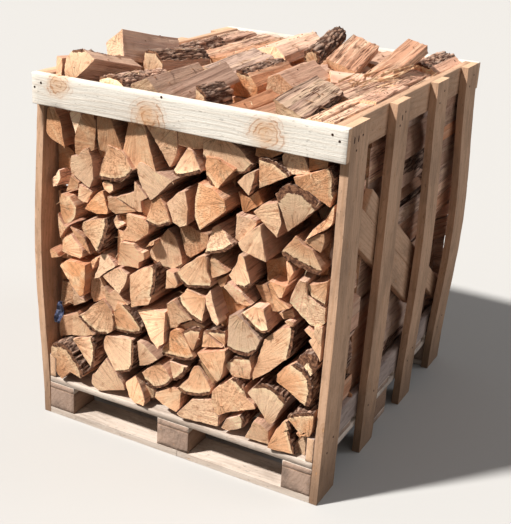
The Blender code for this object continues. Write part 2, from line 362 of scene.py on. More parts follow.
def make_split_face():
    """Faces torn open along the grain: long fibres, deep grooves and slivers."""
    wood = Wood("split_face", 0.84)
    wander = wood.streaks(wood.grain, 14, 5, 2.0) - 0.5
    place = wood.shift(wood.grain, wood.join(wander * 0.012, wander * 0.009, 0.0))
    fibres = wood.streaks(place, 150, 4.0, 5.0, 0.66)
    strands = wood.streaks(place, 62, 2.0, 3.0, 0.55)
    grooves = wood.fall(wood.math("ABSOLUTE", strands - 0.5), 0.004, 0.030)
    fine_strands = wood.streaks(place, 130, 5.0, 2.0)
    fine_grooves = wood.fall(wood.math("ABSOLUTE", fine_strands - 0.52), 0.004, 0.040)
    streaks = wood.streaks(place, 40, 1.6)
    slivers = wood.streaks(place, 560, 14, 3.0, 0.7)
    blotch = wood.noise(wood.grain, 15.0, 3.0)
    gaps = wood.streaks(wood.grain, 26, 9, 2.0)
    depth = wood.attribute("surface", "Fac")
    lines = grooves * wood.rise(gaps, 0.36, 0.56)
    lines = wood.math("MAXIMUM", lines, 0.6 * fine_grooves * wood.rise(blotch, 0.4, 0.6))
    lines = lines * depth
    colour = wood.coats(
        wood.mix(wood.warmth, paint(196, 167, 151), paint(197, 140, 106)),
        (wood.rise(streaks, 0.46, 0.62) * (0.20 + 0.40 * depth), paint(228, 196, 168)),
        (wood.rise(blotch, 0.50, 0.75) * 0.45, paint(140, 90, 64)),
        (lines * 0.62, paint(96, 60, 42)),
    )
    shade = 0.68 + 0.62 * fibres + 0.34 * (slivers - 0.2)
    height = 0.8 * fibres + 0.35 * slivers + 0.8 * streaks - 0.55 * lines
    return wood.finish(wood.scaled(colour, shade * log_shade(wood)), height, 0.0050)


def make_bark():
    """Thick bark: long corky strips between dark furrows, worn pale on top."""
    wood = Wood("bark", 0.92)
    plate = wood.attribute("surface", "Fac")
    ridges = wood.streaks(wood.grain, 120, 22, 5.0, 0.7)
    rough = wood.streaks(wood.grain, 260, 110, 3.0, 0.6)
    patches = wood.noise(wood.grain, 22.0, 3.0)
    scales = wood.streaks(wood.grain, 70, 40)
    top = wood.rise(plate + 1.8 * (ridges - 0.5) + 0.8 * (scales - 0.5), -0.05, 0.80)
    colour = wood.coats(
        BARK_DARK,
        (top, BARK_LIGHT),
        (wood.rise(patches, 0.45, 0.7) * top * 0.6, BARK_GREY),
        (wood.fall(patches, 0.34, 0.50) * 0.5, paint(138, 92, 70)),
    )
    colour = wood.scaled(colour, (0.70 + 0.5 * rough) * (0.62 + 0.66 * wood.lightness))
    return wood.finish(colour, 0.8 * top + 1.0 * ridges + 0.5 * rough, 0.0060)


def knot_marks(wood, along, across, knots):
    """How deep in a knot each place lies, its arcs, and how fibres bend round it."""
    sway = wood.noise(wood.grain, 26.0, 3.0, 0.6) - 0.5
    broken = wood.noise(wood.grain, 34.0, 2.0)
    core, bend, arcs = 0.0, 0.0, 0.0
    for knot_along, knot_across, radius in knots:
        gap = wood.length(wood.join(
            (along - knot_along) * 0.9 + sway * 0.040, across - knot_across + sway * 0.03,
            0.0)) / radius
        core = core + wood.fall(gap, 0.25, 1.40) * (0.35 + 1.2 * broken)
        bend = bend + wood.fall(gap, 0.0, 2.6)
        turns = wood.rise(wood.math("SINE", gap * 21.0 + across * 60.0), 0.3, 1.0)
        arcs = arcs + turns * wood.fall(gap, 0.8, 1.5) * wood.rise(broken, 0.36, 0.6)
    return core, bend, arcs


def make_board(name, light, dark, old, age, ring_share=0.55, knots=(), ground_darkening=0.0):
    """Sawn softwood. old is the colour that weather and dirt bring, age its share, and the last
    argument how much the board darkens towards the ground."""
    wood = Wood(name, 0.76)
    across, through, along = wood.parts(wood.grain)
    if knots:
        knot, bend, arcs = knot_marks(wood, along, across, knots)
        swerve = 0.010
    else:
        gap = wood.node("ShaderNodeTexVoronoi", {"feature": "F1"},
                        {"Vector": wood.stretch(wood.grain, 6, 6, 2.2)}, "Distance")
        knot, bend, arcs = wood.fall(gap, 0.045, 0.085), wood.fall(gap, 0.0, 0.42), 0.0
        swerve = 0.030
    drift = wood.streaks(wood.grain, 7, 0.9) - 0.5
    spread = across + through * 0.6 + drift * 0.12 + bend * swerve
    rings = wood.rise(wood.math("SINE", spread * (math.tau / BOARD_RING_WIDTH)), 0.1, 1.0)
    fibres = wood.streaks(wood.grain, 200, 4, 5.0, 0.65)
    saw = wood.streaks(wood.grain, 60, 260, 3.0, 0.6)
    fuzz = wood.streaks(wood.grain, 300, 80, 3.0, 0.7)
    patches = wood.streaks(wood.grain, 12, 3.5, 4.0, 0.6)
    grime = wood.streaks(wood.grain, 30, 8, 4.0, 0.65)
    specks = wood.rise(wood.streaks(wood.grain, 150, 45, 2.0), 0.64, 0.71)
    up = wood.parts(wood.place())[2]
    colour = wood.coats(
        light,
        (rings * (0.10 + 0.9 * patches) * ring_share, dark),
        (wood.rise(patches, 0.42, 0.72) * age, old),
        (wood.rise(grime, 0.52, 0.70) * age * 0.8, old),
        # darker towards the ground
        (wood.fall(up + 0.5 * (grime - 0.5), 0.0, 0.34) * ground_darkening, paint(122, 98, 80)),
        (bend * 0.5 * ring_share, dark),
        (knot * 0.75, wood.mix(wood.rise(grime, 0.35, 0.65), dark, paint(208, 158, 112))),
        (arcs * 0.7, paint(176, 122, 84)),
    )
    shade = 0.78 + 0.26 * fibres + 0.12 * saw + 0.16 * fuzz - 0.30 * specks
    colour = wood.scaled(colour, shade * (0.76 + 0.44 * wood.lightness))
    height = 0.8 * fibres + 0.4 * saw + 0.5 * fuzz + 0.10 * rings - 0.2 * knot
    return wood.finish(colour, height, 0.0016)


def make_board_finishes():
    """The face and end finishes of each kind of board."""
    board_end = make_board("board_end", paint(226, 188, 156), paint(204, 154, 118),
                           paint(184, 150, 122), 0.4)
    block_end = make_board("block_end", paint(182, 156, 140), paint(148, 120, 102),
                           paint(118, 102, 92), 0.7)
    rail = make_board("pale_board", paint(230, 226, 218), paint(212, 174, 138),
                      paint(190, 180, 170), 0.30, 0.22, RAIL_KNOTS)
    post = make_board("post_board", paint(212, 174, 145), paint(178, 134, 100),
                      paint(150, 122, 102), 0.55, ground_darkening=0.8)
    low = make_board("low_board", paint(176, 158, 150), paint(142, 122, 112),
                     paint(106, 94, 92), 0.75)
    pallet = make_board("pallet_board", paint(216, 202, 190), paint(190, 166, 148),
                        paint(150, 134, 122), 0.65)
    block = make_board("block_board", paint(156, 126, 106), paint(122, 94, 76),
                       paint(100, 84, 72), 0.6)
    return {"rail": (rail, board_end), "post": (post, board_end), "low": (low, board_end),
            "pallet": (pallet, block_end), "block": (block, block_end)}


def make_nail_steel():
    steel = Finish("nail_steel", 0.55)
    steel.shader.inputs["Metallic"].default_value = 0.4
    rust = steel.noise(steel.place(), 260.0, 3.0)
    colour = steel.mix(rust, paint(58, 50, 46), paint(84, 54, 40))
    return steel.finish(colour, rust, 0.0004)


def make_loose_wood(name, light, dark):
    """Slivers and chips: each takes its shade from where it lies."""
    wood = Finish(name, 0.85)
    place = wood.place()
    shade = wood.noise(place, 31.0, 2.0)
    specks = wood.noise(place, 420.0, 2.0)
    colour = wood.mix(wood.rise(shade, 0.35, 0.65), dark, light)
    return wood.finish(wood.scaled(colour, 0.75 + 0.5 * specks), specks, 0.0006)


def make_scrap_film():
    """Torn wrapping film caught between the logs and the post."""
    film = Finish("scrap_film", 0.38)
    film.shader.inputs["Specular IOR Level"].default_value = 0.5
    place = film.place()
    folds = film.noise(place, 90.0, 3.0)
    dust = film.noise(place, 300.0, 2.0)
    colour = film.mix(film.rise(folds, 0.35, 0.65), paint(70, 82, 122), paint(140, 150, 184))
    colour = film.mix(film.rise(dust, 0.55, 0.75) * 0.5, colour, paint(170, 150, 134))
    return film.finish(colour, folds, 0.0030)


def make_floor_paint():
    """A floor that looks pale to the camera and throws less light back than that."""
    paper = Finish("studio_floor", 0.9)
    eye = paper.node("ShaderNodeLightPath", {}, {}, "Is Camera Ray")
    paper.feed(paper.shader.inputs["Base Color"], paper.mix(eye, FLOOR_BOUNCE, FLOOR_SEEN))
    return paper.material


# ---------------------------------------------------------------- pieces


class Piece:
    """The points and faces of one piece, with its grain and tone at every point.

    surface is how far up a bark plate a point of bark is, from its furrow at 0, and how
    deep the grooves are on split wood.
    """

    def __init__(self):
        self.points, self.faces, self.finishes = [], [], []
        self.grain, self.tone, self.surface = [], [], []

    def point(self, place, grain, tone, surface):
        self.points.append(place)
        self.grain.extend(grain)
        self.tone.extend(tone)
        self.surface.append(surface)
        return len(self.points) - 1

    def face(self, corners, finish):
        self.faces.append(corners)
        self.finishes.append(finish)

    def make(self, name, materials, slot, *nodes):
        mesh = bpy.data.meshes.new(name)
        mesh.from_pydata(self.points, [], self.faces)
        for material in materials:
            mesh.materials.append(material)
        mesh.polygons.foreach_set("material_index", self.finishes)
        set_vectors(mesh, grain=self.grain, tone=self.tone)
        mesh.attributes.new("surface", "FLOAT", "POINT").data.foreach_set(
            "value", self.surface)
        return show(mesh, name, slot, *nodes)


def show(mesh, name, slot, *nodes, crease=38):
    """Puts a finished mesh in the scene as a piece that stands for some CAD nodes. Edges
    sharper than the crease, in degrees, stay sharp."""
    mesh.shade_smooth()
    mesh.set_sharp_from_angle(angle=math.radians(crease))
    item = add_object(name, mesh)
    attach(item, BODY)
    if nodes:
        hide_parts(*nodes)
    return item


# ---------------------------------------------------------------- split logs

END, SPLIT, BARK = 0, 1, 2      # places of the finishes on a log's mesh
CORNER, CORNER_SHARE = 0.0016, 0.2   # how far a split edge is eased, and at most what share
END_EASE = 0.0009               # how far the rim of a sawn end is drawn in
BARK_FINENESS = 0.6             # bark is cut this much finer than split wood
BARK_SWELL = 0.05               # a bark edge bulges by this share of its length
BARK_DEPTH = 0.009
NO_BARK, BARE_RIND = 9.0, 1.05  # rind of wood far from any bark, and at a bare outer edge
BOW, TILT = 0.0025, 0.14        # how far a log bends, and how far out of square it is sawn
END_REACH = 0.03                # how far from an end its tilt is felt
ROUGH_ENDS = (0.4, 0.7, 1.0, 1.8)    # how rough an end may be sawn
LIGHTNESS_SPREAD, WARMTH_SPREAD = 0.15, 0.30    # how far a log strays from its wood's tone
LINING_X = 0.4738               # just inside the braces and the side rails
POST_X = 0.4986                 # just inside the posts
SPREAD_Y = (-0.522, 0.562)      # past these the log ends may reach the posts
BRACE_CLEAR_Y, BACK_CLEAR_Z, FRONT_CLEAR_Z = 0.30, 0.66, 0.60   # where no brace runs
RAIL_Y = 0.5988                 # just inside the front and back top rails
RAIL_BASE = 1.1018              # just under them
LOWER_RAIL_TOP = 0.2305         # just over the bottom rails
LOG_FLOOR = 0.1445              # just over the deck

# brown, dim and dark are partly the wood's own tone and partly painted shade, for logs that sit in the
# stack's shade
TONES = {                       # lightness and warmth of the wood
    "tan": (0.50, 0.55), "warm": (0.48, 0.85), "pale": (0.80, 0.35), "grey": (0.42, 0.10),
    "pink": (0.40, 0.60), "brown": (0.10, 1.00), "dim": (0.20, 0.55), "dark": (0.18, 0.60),
    "white": (0.98, 0.12), "ash": (0.30, 0.05), "rose": (0.28, 0.45),
}


def sides_of(corners):
    """The sides of an outline, each as the two marked corners that it runs between."""
    return zip(corners, corners[1:] + corners[:1])


def read_corners(text):
    """Corners written as x,y in centimetres. Between two marked b the edge is bark, and
    between two marked w it is pale outer wood that has lost its bark."""
    corners = []
    for word in text.split():
        x, y = word.rstrip("bw").split(",")
        corners.append((Vector((float(x), float(y))) * CM, word.lstrip("-.,0123456789")))
    return anticlockwise(corners)


def anticlockwise(corners):
    area = sum(a.cross(b) for (a, _), (b, _) in sides_of(corners))
    return corners if area > 0 else corners[::-1]


def middle_of(corners):
    """The centre of the area inside an outline."""
    area, centre = 0.0, Vector((0, 0))
    for (a, _), (b, _) in sides_of(corners):
        part = a.cross(b)
        area += part
        centre += (a + b) * part
    return centre / (3 * area)


def trace(corners, step):
    """Samples round an outline: place, outward direction, and whether it is bark."""
    samples = []
    for (start, start_mark), (end, end_mark) in sides_of(corners):
        edge = end - start
        bark = start_mark == end_mark == "b"
        outward = Vector((edge.y, -edge.x)).normalized()
        ease = min(CORNER, edge.length * CORNER_SHARE) / edge.length
        fine = step * (BARK_FINENESS if bark else 1)
        count = max(1, round(edge.length * (1 - 2 * ease) / fine))
        for number in range(count + 1):
            share = ease + (1 - 2 * ease) * number / count
            swell = math.sin(math.pi * share) * edge.length * BARK_SWELL * bark
            samples.append((start + edge * share + outward * swell, outward, bark))
    return samples


def marked_edges(corners, mark):
    return [(a, b) for (a, a_mark), (b, b_mark) in sides_of(corners)
            if a_mark == b_mark == mark]


def gap_to(edges, point):
    """The distance from a point to the nearest of some edges."""
    nearest = 1.0
    for start, end in edges:
        edge = end - start
        share = max(0.0, min(1.0, (point - start).dot(edge) / edge.length_squared))
        nearest = min(nearest, (start + edge * share - point).length)
    return nearest


def find_pith(corners, edges, centre, draw):
    """The tree's heart: across the log from its bark, or some way off if it has none."""
    if edges:
        rind = sum((a + b for a, b in edges), Vector((0, 0))) / (2 * len(edges))
        heading = (centre - rind).normalized()
        beyond = draw.uniform(-0.004, 0.012)
    else:
        turn = draw.uniform(0, math.tau)
        heading = Vector((math.cos(turn), math.sin(turn)))
        beyond = draw.uniform(0.0, 0.05)
    reach = max((corner - centre).dot(heading) for corner, _ in corners)
    return centre + heading * (reach + beyond)


def ripple(x, y, z, across, along, seed):
    """Noise that repeats so many times a metre across the grain and along it."""
    return noise.noise(Vector((x * across, y * across, z * along + seed)))


def bark_plate(point, along, seed):
    """0 in a furrow between two bark plates, up to 1 on top of a plate."""
    sway = ripple(*point, along, 40, 30, seed)
    near, next_near, *_ = noise.voronoi(Vector((
        point.x * 72 + 0.5 * sway, point.y * 72 + 0.5 * sway, along * 12 + sway + seed)))[0]
    return min(1.0, (next_near - near) * 2.0)


def relief(point, along, plate, seed):
    """How far a face stands out at a place on the log's side."""
    if plate is not None:
        flakes = ripple(*point, along, 170, 60, seed)
        return 0.0046 * (plate - 0.55) + 0.0012 * flakes
    waves = ripple(*point, along, 24, 3.5, seed)
    ridges = ripple(*point, along, 85, 5, seed)
    slivers = ripple(*point, along, 240, 10, seed)
    return 0.0026 * waves + 0.0019 * ridges + 0.0008 * slivers


def any_way(draw):
    return Vector((draw.uniform(-1, 1), draw.uniform(-1, 1)))


class Cut:
    """How finely a log is cut: round it, near its seen ends, along it, over its ends."""

    def __init__(self, step, near_end, ring_step, end_rings, both_ends=False, groove=1.0):
        self.step, self.near_end, self.ring_step = step, near_end, ring_step
        self.end_rings, self.both_ends, self.groove = end_rings, both_ends, groove

    def stations(self, length):
        """Where the rings of points lie along a log: close together at a seen end."""
        near = [0.0, 0.0012, *self.near_end]
        far = near if self.both_ends else [0.0, 0.0012]
        span = length - near[-1] - far[-1]
        count = max(1, round(span / self.ring_step))
        inner = [near[-1] + span * number / count for number in range(1, count)]
        return near + inner + [length - gap for gap in reversed(far)]


CUTS = {
    "front": Cut(0.0088, (0.005, 0.012, 0.022, 0.036, 0.055), 0.060,
                 (0.05, 0.13, 0.26, 0.42, 0.60, 0.80)),
    "back": Cut(0.0100, (0.005, 0.014, 0.030), 0.060, (0.07, 0.20, 0.40, 0.65)),
    "side": Cut(0.0100, (0.006,), 0.026, (0.10, 0.35, 0.65)),
    "hidden": Cut(0.0230, (), 0.095, (0.5,)),
    "top": Cut(0.0058, (0.005, 0.012), 0.018, (0.08, 0.2, 0.4, 0.65), both_ends=True,
               groove=1.7),
    "loose": Cut(0.0046, (0.004, 0.010), 0.0085,
                 (0.04, 0.10, 0.20, 0.34, 0.50, 0.68, 0.84), both_ends=True, groove=1.5),
}


class SplitLog:
    """One split log between its front and back points.

    The corners are seen from in front, relative to the front point. grooves is how deep
    its split faces are grooved. A limit moves a point that would reach into the crate's
    boards.
    """

    def __init__(self, corners, front, back, tone, seed, cut, grooves=None, limit=None,
                 thick_bark=1.0):
        draw = random.Random(seed)
        self.front, self.seed, self.cut, self.limit = front, seed, cut, limit
        self.length = (back - front).length
        self.inward = (back - front) / self.length
        self.across = Z_AXIS.cross(-self.inward).normalized()
        self.upward = (-self.inward).cross(self.across)
        self.centre = middle_of(corners)
        self.bark, self.bare = marked_edges(corners, "b"), marked_edges(corners, "w")
        self.pith = find_pith(corners, self.bark or self.bare, self.centre, draw)
        self.samples = trace(corners, cut.step)
        self.bow = any_way(draw) * BOW
        self.taper = draw.uniform(-0.05, 0.02)
        self.tilt = any_way(draw) * TILT
        self.roughness = draw.choice(ROUGH_ENDS)
        lightness, warmth = tone
        self.lightness = max(0.0, lightness + draw.uniform(-LIGHTNESS_SPREAD, LIGHTNESS_SPREAD))
        self.warmth = warmth + draw.uniform(-WARMTH_SPREAD, WARMTH_SPREAD)
        self.bark_depth = BARK_DEPTH * thick_bark * draw.uniform(0.8, 1.2)
        self.grooves = draw.uniform(0.2, 1.0) if grooves is None else grooves
        self.groove_height = cut.groove * (0.6 + 0.6 * self.grooves)

    def put(self, piece, spot, along, surface=0.5):
        """Adds a point at a spot on the log's section, so far along the log."""
        place = self.front + self.across * spot.x + self.upward * spot.y + self.inward * along
        if self.limit:
            place = self.limit(place)
        rind = min(gap_to(self.bark, spot) / self.bark_depth, NO_BARK,
                   BARE_RIND + gap_to(self.bare, spot) / self.bark_depth)
        offset = spot - self.pith
        grain = offset.x, offset.y, along + self.seed * 0.37
        return piece.point(place, grain, (self.lightness, self.warmth, rind), surface)

    def sawn(self, spot, station, share):
        """Tilts and roughens the sawn ends, and leaves the middle of the log alone."""
        offset = spot - self.pith
        ray = offset.normalized() * 13
        fan = noise.noise(Vector((ray.x, ray.y, offset.length * 12 + self.seed)))
        chips = noise.noise(Vector((spot.x * 75, spot.y * 75, self.seed)))
        rough = self.roughness * (0.0012 * fan + 0.0010 * chips)
        return station + share * (self.tilt.dot(spot - self.centre) + rough)

    def ring(self, piece, station, inset=0.0):
        """Adds a ring of points round the log, or one that lies inside its end."""
        near_end = 1 if inset else max(
            0.0, 1 - min(station, self.length - station) / END_REACH)
        scale = 1 + self.taper * station / self.length
        sway = self.bow * (0 if inset else math.sin(math.pi * station / self.length))
        ease = END_EASE if not inset and station in (0.0, self.length) else 0.0
        ring = []
        for point, outward, bark in self.samples:
            plate = bark_plate(point, station, self.seed) if bark else None
            swell = (self.cut.groove if bark else self.groove_height) * (1 - inset) ** 3
            out = relief(point, station, plate, self.seed) * swell - ease
            spot = (point + outward * out - self.centre) * scale * (1 - inset)
            spot = self.centre + spot + sway
            surface = 0.5 if inset else plate if bark else self.grooves
            ring.append(self.put(piece, spot, self.sawn(spot, station, near_end), surface))
        return ring

    def add_sides(self, piece, rings):
        for near, far in zip(rings, rings[1:]):
            for index, (point, outward, bark) in enumerate(self.samples):
                after = (index + 1) % len(self.samples)
                corners = (near[index], far[index], far[after], near[after])
                piece.face(corners, BARK if bark else SPLIT)

    def add_end(self, piece, outer, station, facing_front, insets):
        """Closes an end with rings that shrink towards a hub in its middle."""
        turn = 1 if facing_front else -1
        pairs = [(index, (index + 1) % len(outer)) for index in range(len(outer))]
        for inset in insets:
            inner = self.ring(piece, station, inset)
            for index, after in pairs:
                quad = (outer[index], outer[after], inner[after], inner[index])
                piece.face(quad[::turn], END)
            outer = inner
        hub = self.put(piece, self.centre, self.sawn(self.centre, station, 1))
        for index, after in pairs:
            piece.face((outer[index], outer[after], hub)[::turn], END)

    def add_to(self, piece):
        rings = [self.ring(piece, station) for station in self.cut.stations(self.length)]
        self.add_sides(piece, rings)
        self.add_end(piece, rings[0], 0.0, True, self.cut.end_rings)
        back_rings = self.cut.end_rings if self.cut.both_ends else ()
        self.add_end(piece, rings[-1], self.length, False, back_rings)
